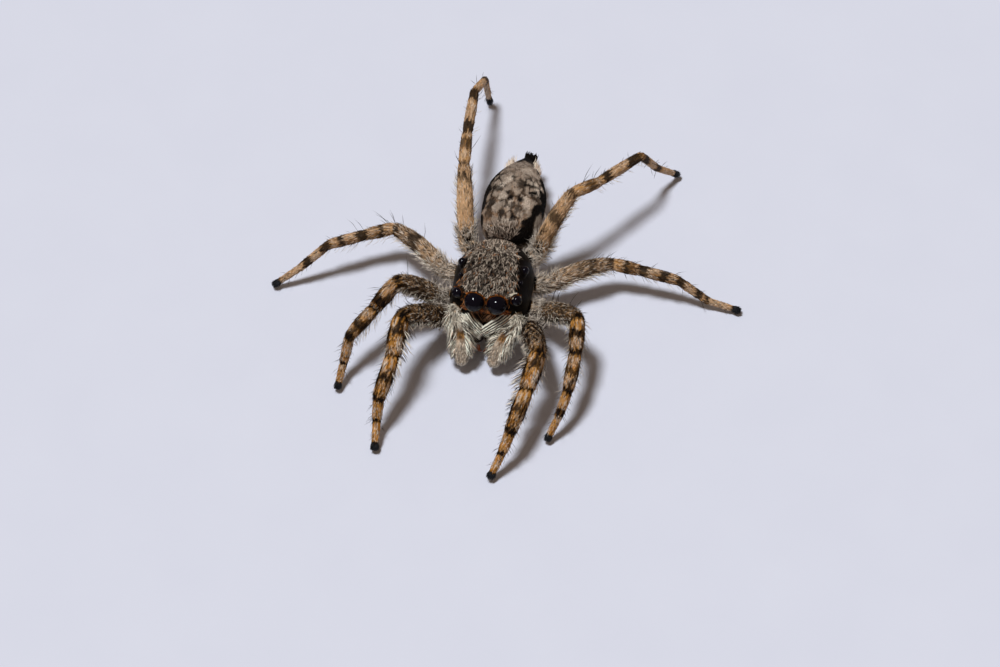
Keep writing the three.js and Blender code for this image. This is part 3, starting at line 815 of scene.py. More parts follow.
def addCuticle(tree, surface, scale, roughness, spread, strength):
    # wrinkles in the normal and an uneven gloss
    grain = addNode(tree, "ShaderNodeGroup", node_tree=cuticle)
    grain.inputs["Scale"].default_value = scale
    join(tree, mathNode(tree, "MULTIPLY_ADD", grain.outputs["Wear"], spread, roughness),
         surface.inputs["Roughness"])
    bumps = addNode(tree, "ShaderNodeBump",
                    {"Height": grain.outputs["Height"], "Strength": strength, "Distance": 0.00001})
    join(tree, bumps.outputs[0], surface.inputs["Normal"])
    return grain


def markedMaterial(name, colours, **shader):
    # a finish that takes its colour from the piece's marks
    material, tree, surface = newMaterial(name, **shader)
    marks = addNode(tree, "ShaderNodeAttribute", attribute_name="marks")
    parts = addNode(tree, "ShaderNodeSeparateColor", {0: marks.outputs["Color"]})
    painted = addNode(tree, "ShaderNodeGroup", node_tree=markings)
    for label, source in {"Dark": parts.outputs[0], "Pale": parts.outputs[1], "Rust": parts.outputs[2],
                          "Tone": marks.outputs["Alpha"], **colours}.items():
        join(tree, source, painted.inputs[label])
    join(tree, painted.outputs["Colour"], surface.inputs["Base Color"])
    return material, tree, surface, marks, painted


def skinMaterial():
    # the gloss comes with the marks: bare black shell shines, soft skin doesn't
    material, tree, surface, marks, painted = markedMaterial(
        "skinFinish", {"Cream": (0.5, 0.42, 0.34, 1), "Deep": (0.005, 0.0035, 0.003, 1)},
        Specular_IOR_Level=0.03)
    onLimb = mathNode(tree, "GREATER_THAN", marks.outputs["Alpha"], 0.4)
    onShell = mathNode(tree, "GREATER_THAN", marks.outputs["Alpha"], 0.75)
    join(tree, mixColour(tree, onLimb, (0.25, 0.185, 0.135, 1), coatColours["Ground"]),
         painted.inputs["Ground"])
    join(tree, mixColour(tree, onShell, coatColours["Orange"], (0.56, 0.13, 0.01, 1)),
         painted.inputs["Orange"])
    grain = addCuticle(tree, surface, 14000.0, 0.5, 0.2, 0.3)
    join(tree, mathNode(tree, "MULTIPLY_ADD", grain.outputs["Wear"], 0.5, 0.25), painted.inputs["Tone"])
    rough = mathNode(tree, "MULTIPLY_ADD", marks.outputs["Alpha"], -0.25, 0.58)
    join(tree, mathNode(tree, "MULTIPLY_ADD", grain.outputs["Wear"], 0.12, rough),
         surface.inputs["Roughness"])
    return material


def hairMaterial(name, colours, roughness, shine):
    material, tree, surface, marks, painted = markedMaterial(name, colours, Specular_IOR_Level=shine)
    streak = addNode(tree, "ShaderNodeTexNoise", {
        "Vector": addNode(tree, "ShaderNodeTexCoord").outputs["Object"], "Scale": 22000.0, "Detail": 2.0})
    join(tree, mathNode(tree, "MULTIPLY_ADD", streak.outputs[0], 0.25, roughness - 0.12),
         surface.inputs["Roughness"])
    return material


def plainMaterial(name, colour, other, scale, roughness, spread, strength, **shader):
    # two close colours mixed by the cuticle's wear, with its wrinkles and uneven gloss
    material, tree, surface = newMaterial(name, **shader)
    grain = addCuticle(tree, surface, scale, roughness, spread, strength)
    join(tree, mixColour(tree, grain.outputs["Wear"], colour, other), surface.inputs["Base Color"])
    return material


skinFinish = skinMaterial()
warmCoat = hairMaterial("warmCoat", {}, 0.5, 0.1)
footCoat = hairMaterial("footCoat", {"Deep": (0.011, 0.012, 0.015, 1)}, 0.45, 0.25)
greyCoat = hairMaterial("greyCoat", {
    "Ground": (0.19, 0.125, 0.085, 1), "Cream": (0.76, 0.66, 0.54, 1), "Orange": (0.42, 0.15, 0.03, 1)},
    0.5, 0.15)
abdomenCoat = hairMaterial("abdomenCoat", {
    "Ground": (0.165, 0.128, 0.1, 1), "Cream": (0.7, 0.58, 0.47, 1), "Orange": (0.19, 0.095, 0.055, 1),
    "Deep": (0.008, 0.006, 0.005, 1)}, 0.55, 0.04)
whiteCoat = hairMaterial("whiteCoat", {
    "Ground": (0.38, 0.24, 0.12, 1), "Cream": (0.9, 0.82, 0.68, 1), "Orange": (0.68, 0.17, 0.012, 1)},
    0.45, 0.2)
print("finishes ready")

skinPlaces, skinFaces = unitedSkin()
fleshNodes = ["carapace", "abdomen", "underside", "pedicel", "spinnerets", "palp_left", "palp_right"]
fleshNodes += ["leg_" + name + "_" + segment for name in stances for segment in segmentNames]
skin = addPiece("skin", skinPlaces, skinFaces, skinFinish, "leg_coat", *fleshNodes)
setMarks(skin.data, *skinMarks(skinPlaces))
print("skin:", len(skinPlaces), "points,", len(skinFaces), "faces")


def insideBody(points, margin):
    # true where a point lies within the carapace or the abdomen, deeper than the margin
    x, y, z = points.T
    width, height, power = carapaceSizes(y)
    f = carapaceForm
    within = (y > f["widestY"] - f["front"] + margin) & (y < f["widestY"] + f["rear"] - margin)
    width, height = np.maximum(width - margin, 0.01), np.maximum(height - margin, 0.01)
    shell = (np.abs(x) / width) ** power + (np.maximum(0, z - f["marginZ"]) / height) ** power < 1
    inCarapace = within & shell & (z > f["marginZ"] - 0.05)
    fullness, middle, centre = abdomenSizes(y)
    wide = np.maximum((abdomenForm["halfWidth"] - abdomenForm["inset"]) * fullness - margin, 0.01)
    tall = np.maximum((abdomenForm["halfHeight"] - abdomenForm["inset"]) * fullness - margin, 0.01)
    return inCarapace | ((np.abs(x - middle) / wide) ** 2.2
                         + (np.abs(z - centre) / tall) ** 2.2 < 1) & (y > 1.4)


def batch(roots, normal, lie, uv, length, width, lift, bend, marks, curl=0.0):
    # one kind of hair: every value is stretched to one number for each hair; lift and bend are in degrees
    n = len(roots)
    numbers = (length, width, np.radians(lift), np.radians(bend), curl, *marks)
    return [roots, normal, lie, uv, *(np.broadcast_to(np.asarray(value, float), n) for value in numbers)]


def hairs(name, finish, slotName, batches, rings=2, lowest=0.01):
    # each hair is a three-sided spike that leaves its root at the lift angle and bends towards the skin
    joined = [np.concatenate(part) for part in zip(*batches)]
    roots, normal, lie, uv, length, width, lift, bend, curl = joined[:9]
    n = len(roots)
    lie = unit(lie - dot(lie, normal) * normal)
    across = np.cross(normal, lie)
    shares = np.arange(rings) / rings
    place = roots - normal * 0.012
    levels = []
    for k, share in enumerate(shares):
        step = (k + 0.5) / rings
        rise = (lift - bend * step)[:, None]
        swing = (curl * (step - 0.5))[:, None]
        level = lie * np.cos(swing) + across * np.sin(swing)
        upward = normal * np.cos(rise) - level * np.sin(rise)
        half = (width * (0.65 + 1.9 * share - 2.4 * share ** 2) / 2)[:, None]
        levels.append(np.stack([place - across * half, place + across * half,
                                place + upward * half * 1.2], 1))
        place = place + (level * np.cos(rise) + normal * np.sin(rise)) * (length / rings)[:, None]
    verts = np.concatenate(levels + [place[:, None]], 1)
    verts[..., 2] = np.maximum(verts[..., 2], lowest)
    per = 3 * rings + 1
    cell = [(0, 1, 2)]
    for k in range(rings - 1):
        for a, b in ((0, 1), (1, 2), (2, 0)):
            cell += [(3 * k + a, 3 * k + 3 + b, 3 * k + b), (3 * k + a, 3 * k + 3 + a, 3 * k + 3 + b)]
    top = 3 * (rings - 1)
    cell += [(top, per - 1, top + 1), (top + 1, per - 1, top + 2), (top + 2, per - 1, top)]
    faces = (np.arange(n)[:, None, None] * per + np.array(cell)[None, :, ::-1]).reshape(-1, 3)
    piece = addPiece(name, verts.reshape(-1, 3), faces, finish, slotName)
    setMarks(piece.data, *(np.repeat(np.clip(m, 0, 1), per) for m in joined[9:]))
    reach = np.append(np.repeat(shares, 3), 1.0)
    sideStep = np.append(np.tile([-1, 1, 0.0], rings), 0.0)
    patch = np.stack([sideStep, reach * 2 - 1], -1)[None] * 0.0015
    spots = (uv[:, None] * 0.99 + 0.005 + patch).reshape(-1, 2)
    layer = piece.data.uv_layers.new(name="OFBake")
    layer.uv.foreach_set("vector", spots[faces.ravel()].astype(np.float32).ravel())
    p, q, r = (verts.reshape(-1, 3)[faces[:, k]] for k in range(3))
    print(name, n, "hairs,", len(faces), "triangles, volume", round(float((p * np.cross(q, r)).sum() / 6), 4))
    return piece


def spun(lie, normal, degrees):
    # turns each lie about its normal by a random angle
    swing = np.radians(rng.normal(0, degrees, len(lie)))[:, None]
    return lie * np.cos(swing) + np.cross(normal, lie) * np.sin(swing)


def farFromEyes(points, room):
    clear = np.ones(len(points), bool)
    for name, sideName, centre, facing, radius in eyePlaces():
        clear &= np.linalg.norm(points - centre, axis=1) > radius * room
    return clear


def drawn(value, n):
    # a pair is a range to draw from evenly; anything else stays as it is
    return rng.uniform(*value, n) if isinstance(value, tuple) else value


def swung(value, n):
    # a pair is a mean and its spread; anything else stays as it is
    return rng.normal(*value, n) if isinstance(value, tuple) else value


def some(share, value, n):
    # the value for a random share of the hairs, and 0 for the rest
    return np.where(rng.uniform(0, 1, n) < share, value, 0)


def strands(roots, normal, lie, uv, kind, grow=1.0):
    # a batch of one kind of hair; the order of the draws decides what each hair gets
    n = len(roots)
    if "swing" in kind:
        lie = spun(lie, normal, kind["swing"])
    length, width = drawn(kind["length"], n) * grow, drawn(kind["width"], n)
    lift, bend = swung(kind["lift"], n), swung(kind["bend"], n)
    dark = some(*kind["black"], n) if "black" in kind else kind.get("dark", 0)
    pale = drawn(kind.get("pale", 1), n)
    rust = some(*kind["ruddy"], n) if "ruddy" in kind else drawn(kind.get("rust", 0), n)
    tone = drawn(kind["tone"], n)
    curl = swung(kind.get("curl", 0.0), n)
    return batch(roots, normal, lie, uv, length, width, lift, bend, (dark, pale, rust, tone), curl)


# Coat of the carapace: short curved hairs over bare black shell, and a white line along its margin.
carapaceCoat = {
    "count": 4200, "length": (0.14, 0.26), "width": (0.014, 0.025), "marginCount": 500,
    "margin": {"length": (0.08, 0.13), "width": 0.014, "lift": 12, "bend": 10, "pale": 0.6,
               "tone": (0.2, 0.8)},
    "edgePlaces": (-1.3, -1.0, -0.25, 0.0, 0.3, 0.5, 0.8, 1.2),
    "edgeLeft": (0.68, 0.68, 0.64, 0.58, 0.54, 0.52, 0.5, 0.5),
    "edgeRight": (0.8, 0.8, 0.77, 0.73, 0.69, 0.64, 0.58, 0.55),
}


def carapaceTop(points, normal):
    # the coat ends at an uneven line on each side, further in on the spider's left
    x, y, z = points.T
    across = np.abs(x) / np.maximum(0.2, carapaceSizes(y)[0])
    places = carapaceCoat["edgePlaces"]
    wide = np.where(x > 0, np.interp(y, places, carapaceCoat["edgeLeft"]),
                    np.interp(y, places, carapaceCoat["edgeRight"]))
    top = (across < wide + 0.03 * ripple(points, 0.2, 19)) * (normal[:, 2] > 0.1) * (z > 1.3)
    return top * (1 - 0.93 * carapaceMarks(points)[0]) * farFromEyes(points, 1.15)


def carapaceMargin(points, normal):
    x, y, z = points.T
    return (z < 1.24) * (z > 1.12) * (y > -0.9)


c = carapaceCoat
roots, normal, back, uv = surfaceRoots(carapaceSurface, c["count"], 101, carapaceTop)
n = len(roots)
rear = fade(-0.1, 0.7, roots[:, 1])[:, None]
lie = -back * (1 - rear) + back * rear * 0.6 + roots * [0.35, 0.1, 0]
lie = np.where(rng.uniform(0, 1, (n, 1)) < rear * 0.5, -lie, lie)
lie = spun(unit(lie), normal, 22)
thin, pale, rust = carapaceMarks(roots)
kind = rng.uniform(0, 1, n)
ruddy = kind < 0.025 + 0.55 * rust
black = ((kind > 0.64 - 0.16 * band(-1.2, 0.1, 0.2, roots[:, 1])) | (rng.uniform(0, 1, n) < thin)) & ~ruddy
grey = (kind > 0.4) & ~ruddy & ~black
behind = fade(0.5, 1.1, roots[:, 1])
topBatch = batch(roots, normal, lie, uv, rng.uniform(*c["length"], n) * (1 - 0.45 * behind),
                 rng.uniform(*c["width"], n), rng.normal(24, 8, n) - 10 * behind, rng.normal(28, 9, n),
                 (np.where(black, 0.9, 0), np.where(ruddy, 0.1, np.where(grey, 0.3, 0.55 + 0.45 * pale)),
                  np.where(ruddy, 0.8, 0.05 + 0.05 * behind),
                  np.where(grey, rng.uniform(0.05, 0.45, n), rng.uniform(0.45, 0.75, n))
                  + 0.08 * fade(-0.4, 0.6, roots[:, 1]) - 0.04),
                 rng.normal(0, 0.9, n))
roots, normal, back, uv = surfaceRoots(carapaceSurface, c["marginCount"], 102, carapaceMargin)
marginBatch = strands(roots, normal, spun(back, normal, 15) - [0, 0, 0.4], uv, c["margin"])
hairs("carapaceCoat", greyCoat, "head_coat", [topBatch, marginBatch], rings=3)

# Face: rust rims about the front eyes, a rust band under them, and long white hairs that meet over the jaws.
faceHair = {
    "rim": {"count": 130, "length": (0.03, 0.055), "width": 0.02, "lift": 24, "bend": 20,
            "black": (0.38, 0.95), "pale": 0.1, "rust": (0.85, 1), "tone": (0.35, 1.0)},
    "band": {"count": 420, "swing": 15, "length": (0.09, 0.15), "width": 0.022, "lift": 22, "bend": 5,
             "black": (0.4, 0.95), "pale": 0.15, "rust": (0.6, 0.9), "tone": (0.2, 0.8)},
    "goldLines": {"count": 110, "length": (0.25, 0.4), "width": 0.013, "lift": 24, "bend": 20,
                  "black": (0.68, 0.97), "pale": 0.15, "rust": 0.3, "tone": (0.3, 0.9)},
    "brow": {"count": 46, "swing": 28, "length": (0.14, 0.22), "width": 0.022, "lift": 34, "bend": 20,
             "tone": (0.42, 0.6)},
}
batches = []
for name, sideName, centre, facing, radius in eyePlaces():
    if not name.startswith("front"):
        continue
    n = int(faceHair["rim"]["count"] * radius / 0.3)
    side = unit(np.cross(facing, [0, 0, 1.0]))
    up = np.cross(side, facing)
    about = rng.uniform(0, turn, n)
    out = np.cos(about)[:, None] * side + np.sin(about)[:, None] * up
    roots = centre - facing * radius * 0.22 + out * (radius + rng.uniform(0.0, 0.025, (n, 1)))
    swirl = np.cross(facing, out) * rng.normal(0, 1.6, (n, 1))
    half = 0.4 if sideName == "left" else 0
    uv = np.stack([0.1 + 0.3 * about / turn + half, rng.uniform(0.05, 0.3, n)], -1)
    batches.append(strands(roots, unit(facing * 0.8 + out), out + swirl, uv, faceHair["rim"]))


def facePoint(x, z):
    # a place on the front of the carapace at a side step and a height
    across = np.clip(np.abs(x) / carapaceForm["halfWidth"], 0, 0.97)
    y = carapaceForm["widestY"] - (carapaceForm["front"] - carapaceForm["inset"]) * blunt(across, 4)
    return np.stack([x, y + 0.05 * (z - 1.5), z], -1)


n = faceHair["band"]["count"]
x = rng.uniform(-0.66, 0.66, n)
z = rng.uniform(1.68, 1.84, n) + 0.1 * np.abs(x) ** 2
normal = unit(np.stack([0.5 * x, -np.ones(n), 0.25 * np.ones(n)], -1))
lie = np.stack([np.sign(x) * 0.8, np.zeros(n), -0.6 * np.ones(n)], -1)
uv = np.stack([0.5 + 0.45 * x, 0.4 + 0.5 * (z - 1.6)], -1)
batches.append(strands(facePoint(x, z), normal, lie, uv, faceHair["band"]))

# The beard runs in two bands from the corners of the face to the middle, over the jaws.
beardForm = {"start": {"left": (0.76, -1.55, 1.5), "right": (-0.62, -1.58, 1.3)},
             "meet": (-0.03, -1.97, 1.04), "count": 1900, "width": 0.56, "strands": 17, "length": (0.3, 0.44)}
for sideName, side in sides.items():
    n = beardForm["count"] // 2
    start, meet = np.array(beardForm["start"][sideName]), np.array(beardForm["meet"])
    run = meet - start
    outward = unit(np.cross(run, [0, 0, 1.0]))
    outward = unit(outward * np.sign(-outward[1]) + [0, 0, 0.35])
    across = unit(np.cross(outward, run))
    t = rng.uniform(-0.1, 0.72, n)
    strand = rng.integers(0, beardForm["strands"], n)
    v = 2 * (strand + 0.5) / beardForm["strands"] - 1 + rng.normal(0, 0.012, n)
    width = beardForm["width"] / 2 * (1.1 - 0.25 * t)
    roots = (start + run * t[:, None] + across * (v * width)[:, None]
             + outward * (0.04 - 0.1 * v[:, None] ** 2))
    lie = run - across * (v * width * 0.35)[:, None]
    normal = unit(outward + across * 0.3 * v[:, None])
    gaps = strand % 2
    uv = np.stack([0.3 + 0.1 * v + 0.4 * (side > 0), 0.75 + 0.2 * t], -1)
    batches.append(batch(roots, normal, lie, uv,
                         rng.uniform(*beardForm["length"], n) * (1.05 - 0.5 * np.maximum(t, 0)),
                         np.where(gaps, 0.019, 0.035), rng.normal(9, 1.2, n) + 1.2 * (1 - gaps), 14,
                         (0.98 * gaps, 1, np.where(rng.uniform(0, 1, n) < 0.06, 0.35, 0),
                          rng.uniform(0.55, 0.68, n)),
                         rng.normal(0, 0.04, n)))
n = faceHair["goldLines"]["count"]
x = rng.uniform(-0.5, 0.5, n)
roots = facePoint(x, rng.uniform(1.5, 1.68, n)) + [0, -0.02, 0]
normal = unit(np.stack([0.2 * x, -np.ones(n), 0.4 * np.ones(n)], -1))
lie = np.stack([-0.9 * np.sign(x), np.zeros(n), -np.ones(n)], -1)
batches.append(strands(roots, normal, lie, np.stack([0.5 + x, 0.6 + 0 * x], -1), faceHair["goldLines"]))
# a small white tuft above the left outer front eye
n = faceHair["brow"]["count"]
roots = np.array([0.8, -1.19, 2.27]) + rng.uniform(-0.07, 0.07, (n, 3)) * [1, 1, 0.2]
normal = unit(np.array([[0.25, -0.35, 1]]) + 0 * roots)
lie = np.array([[-0.2, -1, 0]]) + 0 * roots
uv = np.stack([0.6 + roots[:, 0] * 0.1, 0.95 + 0 * roots[:, 0]], -1)
batches.append(strands(roots, normal, lie, uv, faceHair["brow"]))
hairs("faceHair", whiteCoat, "head_coat", batches, rings=3)

# Coat of the abdomen: dense, lying to the rear, with long cream hairs ahead and pale tufts by the tail.
abdomenHair = {
    "count": 16000, "length": (0.06, 0.1), "width": (0.018, 0.028),
    "tail": {"count": 90, "swing": 18, "length": (0.2, 0.36), "width": 0.02, "lift": 30, "bend": 15,
             "rust": 0.15, "tone": (0.8, 1)},
    "front": {"count": 170, "swing": 20, "length": (0.16, 0.26), "width": 0.017, "lift": (14, 4), "bend": 14,
              "pale": (0.1, 0.9), "rust": 0.15, "tone": (0.25, 0.8)},
    "end": {"count": 330, "length": (0.12, 0.19), "width": 0.024, "lift": (20, 7), "bend": 18, "dark": 1,
            "pale": 0, "tone": (0.3, 1)},
}
c = abdomenHair
roots, normal, back, uv = surfaceRoots(abdomenSurface, c["count"], 103,
                                       lambda p, m: np.where(m[:, 2] > -0.3, 1.0, 0.5))
n = len(roots)
dark, pale, rust = abdomenMarks(roots)
batches = [batch(roots, normal, spun(back, normal, 18), uv, rng.uniform(*c["length"], n),
                 rng.uniform(*c["width"], n), rng.normal(9, 4, n), rng.normal(9, 4, n),
                 (dark, pale * rng.uniform(0.85, 1.1, n), rust,
                  rng.uniform(0.34, 0.82, n) - 0.04 * fade(2.3, 1.6, roots[:, 1])), rng.normal(0, 0.5, n))]
for side in (-1, 1):
    n = c["tail"]["count"]
    y = rng.uniform(3.95, 4.3, n)
    fullness, middle, height = abdomenSizes(y)
    tilt = rng.uniform(-0.3, 0.8, n)
    normal = np.stack([side * np.cos(tilt), 0.2 + 0 * y, np.sin(tilt)], -1)
    roots = np.stack([middle, y, height], -1) + normal * (0.88 * fullness)[:, None] * [1, 0, 0.85]
    lie = np.stack([side * 0.4 + 0 * y, 1 + 0 * y, 0.1 + 0 * y], -1)
    uv = np.stack([0.5 + side * 0.2 + 0 * y, y / 5], -1)
    batches.append(strands(roots, unit(normal), lie, uv, c["tail"]))
n = c["front"]["count"]
angle = rng.uniform(0.95, math.pi - 0.4, n)
share = rng.uniform(-0.97, -0.8, n)
roots = abdomenSurface(share, angle)
normal = unit(roots - [abdomenForm["shiftX"], 2.3, 1.36])
lie = np.array([[0, 1.0, 0.3]]) + 0 * roots
uv = np.stack([angle / turn + 0.5, 0.03 + 0 * angle], -1)
# the front hairs on the +X side are black: partly the side band, partly painted shade
batches.append(strands(roots, normal, lie, uv, {**c["front"], "dark": fade(0.4, 0.5, roots[:, 0])}))
n = c["end"]["count"]
about = rng.uniform(0, turn, n)
f = abdomenForm
tail = np.array([f["shiftX"] + f["tailX"], f["widestY"] + f["rear"] - 0.3, 1.14])
out = np.stack([np.cos(about), 0 * about, 0.8 * np.sin(about)], -1)
roots = tail + out * rng.uniform(0.1, 0.2, (n, 1)) + [0, 1, 0] * rng.uniform(-0.4, 0.1, (n, 1))
lie = spun(np.array([0, 1.0, 0.15]) + 0.35 * out, unit(out), 12)
uv = np.stack([about / turn, 0.97 + 0 * about], -1)
batches.append(strands(roots, unit(out + [0, 0.2, 0]), lie, uv, c["end"]))
hairs("abdomenHair", abdomenCoat, "abdomen_coat", batches)


def limbRoots(limb, count, seed, low, high, middle=0.0, spread=math.pi, tall=1.06):
    # random places on a limb between two of its places, with normal, way to the tip, place and angle
    pick = np.random.default_rng(seed)
    path, place, radius = limb["path"], limb["place"], limb["radius"]
    weight = radius * ((place > low) & (place < high))
    total = np.cumsum(weight)
    spot = np.interp(pick.uniform(0, total[-1], count), total, np.arange(len(total)))
    angle = middle + pick.uniform(-spread, spread, count)

    def at(values):
        return np.stack([np.interp(spot, np.arange(len(values)),
                                   values[:, k]) for k in range(values.shape[1])], -1)

    side, top, along = (unit(at(limb[key])) for key in ("sideways", "top", "along"))
    r = np.interp(spot, np.arange(len(radius)), radius)
    # over the round end the ring shrinks and the normal turns to the tip
    toEnd = np.clip(np.linalg.norm(path[-1] - at(path), axis=1) / r, 0.05, 1)
    ring = np.sqrt(1 - (1 - toEnd) ** 2)
    where = np.interp(spot, np.arange(len(place)), place)
    hoop = np.cos(angle)[:, None] * side + tall * np.sin(angle)[:, None] * top
    normal = unit(hoop * ring[:, None] + along * (1 - toEnd)[:, None])
    roots = at(path) + hoop * (r * ring * 0.98)[:, None]
    uv = np.stack([angle / turn % 1.0, spot / len(path)], -1)
    free = ~insideBody(roots, 0.02)
    return tuple(values[free] for values in (roots, normal, along, where, angle % turn, uv))


def tufts(limb, kind, count, seed, spot, tall=1.06):
    # one kind of tuft on a limb; spot gives its place in the map, and "shorter" trims it along the limb
    roots, normal, way, where, angle, uv = limbRoots(limb, count, seed, kind["from"], kind["to"],
                                                     kind["middle"], kind["spread"], tall)
    cut, start, end = kind.get("shorter", (0, 0, 1))
    return strands(roots, normal, way, spot(uv), kind, 1 - cut * fade(start, end, where))


# Coat of the legs: streaky hairs along them, pale fringes, and black bristles that stand up. Each kind of
# tuft grows between two places along the leg, spread to both sides of a middle angle.
below, above = -math.pi / 2, math.pi / 2
legCoat = {"lengths": (0.2, 0.15, 0.13, 0.1), "swing": 12, "width": (0.012, 0.02), "bend": (7, 3),
           "tone": (0.25, 0.86), "curl": (0, 0.2)}
legTufts = {
    "fringe": {"from": 0.1, "to": 3.2, "middle": below, "spread": 1.25, "seed": 1, "swing": 10,
               "length": (0.25, 0.42), "width": 0.017, "lift": (55, 8), "bend": (25, 8), "tone": (0.5, 0.9)},
    "comb": {"from": 1.05, "to": 2.45, "middle": math.pi, "spread": 0.6, "seed": 6, "swing": 6,
             "length": (0.36, 0.5), "shorter": (0.4, 1.8, 2.0), "width": 0.028, "lift": (52, 6),
             "bend": (10, 5), "black": (0.5, 0.97), "tone": (0.6, 0.9)},
    "underThigh": {"from": 0.05, "to": 0.95, "middle": below, "spread": 1.5, "seed": 5, "swing": 14,
                   "length": (0.2, 0.36), "width": 0.02, "lift": (34, 8), "bend": (20, 8),
                   "blackness": 0.9, "tone": (0.3, 1)},
    "fuzz": {"from": -0.9, "to": 0.22, "middle": above, "spread": 2.6, "seed": 2, "swing": 50,
             "length": (0.22, 0.45), "width": 0.016, "lift": (32, 12), "bend": (25, 15),
             "blackness": 0.85, "tone": (0.2, 0.8), "curl": (0, 0.8)},
    "sideBristles": {"from": 0.7, "to": 4.6, "middle": 0.0, "spread": math.pi, "seed": 3, "swing": 16,
                     "length": (0.14, 0.34), "width": 0.013, "lift": (46, 12), "bend": (12, 6),
                     "dark": 1, "pale": 0, "tone": 0.4},
    "tallBristles": {"from": 0.2, "to": 2.9, "middle": above, "spread": 0.7, "seed": 4,
                     "length": (0.45, 0.75), "width": 0.017, "lift": (68, 6), "bend": (22, 6),
                     "dark": 1, "pale": 0, "tone": 0.4},
}
legSets = {"A": ("left_1", "right_4"), "B": ("right_1", "left_4"), "C": ("left_2", "right_3"),
           "D": ("right_2", "left_3")}


def legHairs(leg, seed, uvShift):
    # the batches of one leg: its coat, then each kind of tuft
    look = looksOf(leg["pair"])

    def spot(uv):
        return np.stack([0.02 + uv[:, 0] * 0.46 + uvShift, 0.02 + uv[:, 1] * 0.96], -1)

    roots, normal, way, where, angle, uv = limbRoots(leg, look["coat"], seed, -0.35, 4.8)
    n = len(roots)
    dark, pale, rust = legMarks(leg, where + 0.04, angle, roots)
    kind = rng.uniform(0, 1, n)
    thigh = where < 0.95
    white = kind > np.where(thigh, look["thighWhite"], look["shankWhite"]) + 0.3 * (dark > 0.6)
    outer = np.interp(where, (2.8, 3.4), (look["shankBlack"], look["footBlack"]))
    black = kind < np.where(thigh, look["thighBlack"], outer)
    length = np.interp(where, (0, 1, 3, 5), legCoat["lengths"]) * rng.uniform(0.7, 1.3, n)
    made = [strands(roots, normal, way, spot(uv), {
        **legCoat, "length": length, "lift": (np.where(thigh, look["thighLift"], look["shankLift"]), 4),
        "dark": np.where(white, dark * 0.35, np.where(black, np.maximum(dark, 0.95), dark)),
        "pale": np.where(white, 1, pale), "rust": np.where(white, 0, rust)})]
    for label, tuft in legTufts.items():
        count = look[label]
        if label == "comb" and leg["name"].startswith("right"):
            # thinner, and on the other side
            tuft, count = {**tuft, "middle": 0.0}, count // 2
        if "blackness" in tuft:
            tuft = {**tuft, "black": (look[label + "Black"], tuft["blackness"])}
        if count:
            made.append(tufts(leg, tuft, count, seed + tuft["seed"], spot))
    return made


for k, (label, names) in enumerate(legSets.items()):
    batches = []
    for half, name in enumerate(names):
        batches += legHairs(legsByName[name], 200 + 20 * k + 8 * half, 0.5 * half)
    hairs("legCoat" + label, warmCoat, "leg_coat", batches)

# Foot tufts: a black brush about each tip.
footForm = {"brush": 300, "reach": 0.06, "swing": 12, "width": 0.016, "lift": (13, 5), "bend": (30, 7),
            "dark": 1, "pale": 0, "tone": (0.2, 1)}
batches = []
for k, leg in enumerate(legs):
    roots, normal, way, where, angle, uv = limbRoots(leg, footForm["brush"], 400 + k, tuftStart - 0.04, 4.995)
    uv = np.stack([(uv[:, 0] + k) / 8, (where - 4.7) / 0.35], -1)
    toTip = (5 - where) * legPairs[leg["pair"]]["lengths"][4]
    length = np.minimum(toTip * 0.9 + footForm["reach"], 0.28) * rng.uniform(0.8, 1.1, len(roots))
    batches.append(strands(roots, normal, way, uv, {**footForm, "length": length}))
hairs("footTufts", footCoat, "foot", batches)

# Palp coats: white and fluffy, a fawn stripe above, broad fringes on the ends.
palpCoat = {
    "coat": {"count": 2300, "swing": 14, "length": (0.12, 0.2), "width": (0.013, 0.022), "lift": (20, 6),
             "bend": (16, 6), "tone": (0.2, 0.6), "curl": (0, 0.4)},
    "fringe": {"count": 380, "from": 1.1, "to": 2.6, "spread": 0.7, "swing": 8, "length": (0.4, 0.58),
               "shorter": (0.5, 1.9, 2.6), "width": 0.027, "lift": (52, 8), "bend": (32, 7),
               "black": (0.3, 0.97), "ruddy": (0.12, 0.35), "tone": (0.5, 0.68)},
    "knee": {"count": 330, "from": 0.5, "to": 1.6, "middle": above, "spread": 2.4, "swing": 25,
             "length": (0.2, 0.34), "width": 0.024, "lift": (34, 10), "bend": (26, 8), "black": (0.25, 0.95),
             "tone": (0.42, 0.62)},
}


def palpHairs(palp, k):
    c = palpCoat

    def spot(uv):
        return np.stack([0.02 + uv[:, 0] * 0.46 + 0.5 * k, uv[:, 1]], -1)

    roots, normal, way, where, angle, uv = limbRoots(palp, c["coat"]["count"], 500 + k, 0.1, 2.99, tall=1.0)
    dark, pale, rust = palpMarks(where, angle, roots)
    made = [strands(roots, normal, way, spot(uv), {**c["coat"], "dark": dark, "pale": pale, "rust": rust},
                    1 - 0.4 * fade(2.5, 2.8, where))]
    for middle in (0, math.pi):
        fringe = {**c["fringe"], "middle": middle + 0.15}
        made.append(tufts(palp, fringe, fringe["count"], 510 + k, spot, 1.0))
    return made + [tufts(palp, c["knee"], c["knee"]["count"], 520 + k, spot, 1.0)]


hairs("palpCoat", whiteCoat, "pale_coat", palpHairs(palps[0], 0) + palpHairs(palps[1], 1))

# Lenses: glossy balls, a little fuller in front.
lensForm = {"rows": 26, "cols": 36, "fuller": 0.03}


def lensGrid(centre, facing, radius):
    side = unit(np.cross(facing, [0, 0, 1.0]))
    up = np.cross(side, facing)
    tilt = np.linspace(0.03, 0.97, lensForm["rows"])[:, None] * math.pi
    about = np.linspace(0, turn, lensForm["cols"], endpoint=False)[None, :]
    fuller = 1 + lensForm["fuller"] * np.maximum(0, np.cos(tilt)) ** 2
    out = (np.cos(tilt) * fuller)[..., None] * facing
    ring = np.sin(tilt)[..., None] * (np.cos(about)[..., None] * side + np.sin(about)[..., None] * up)
    return closedGrid(centre + radius * (out + ring))


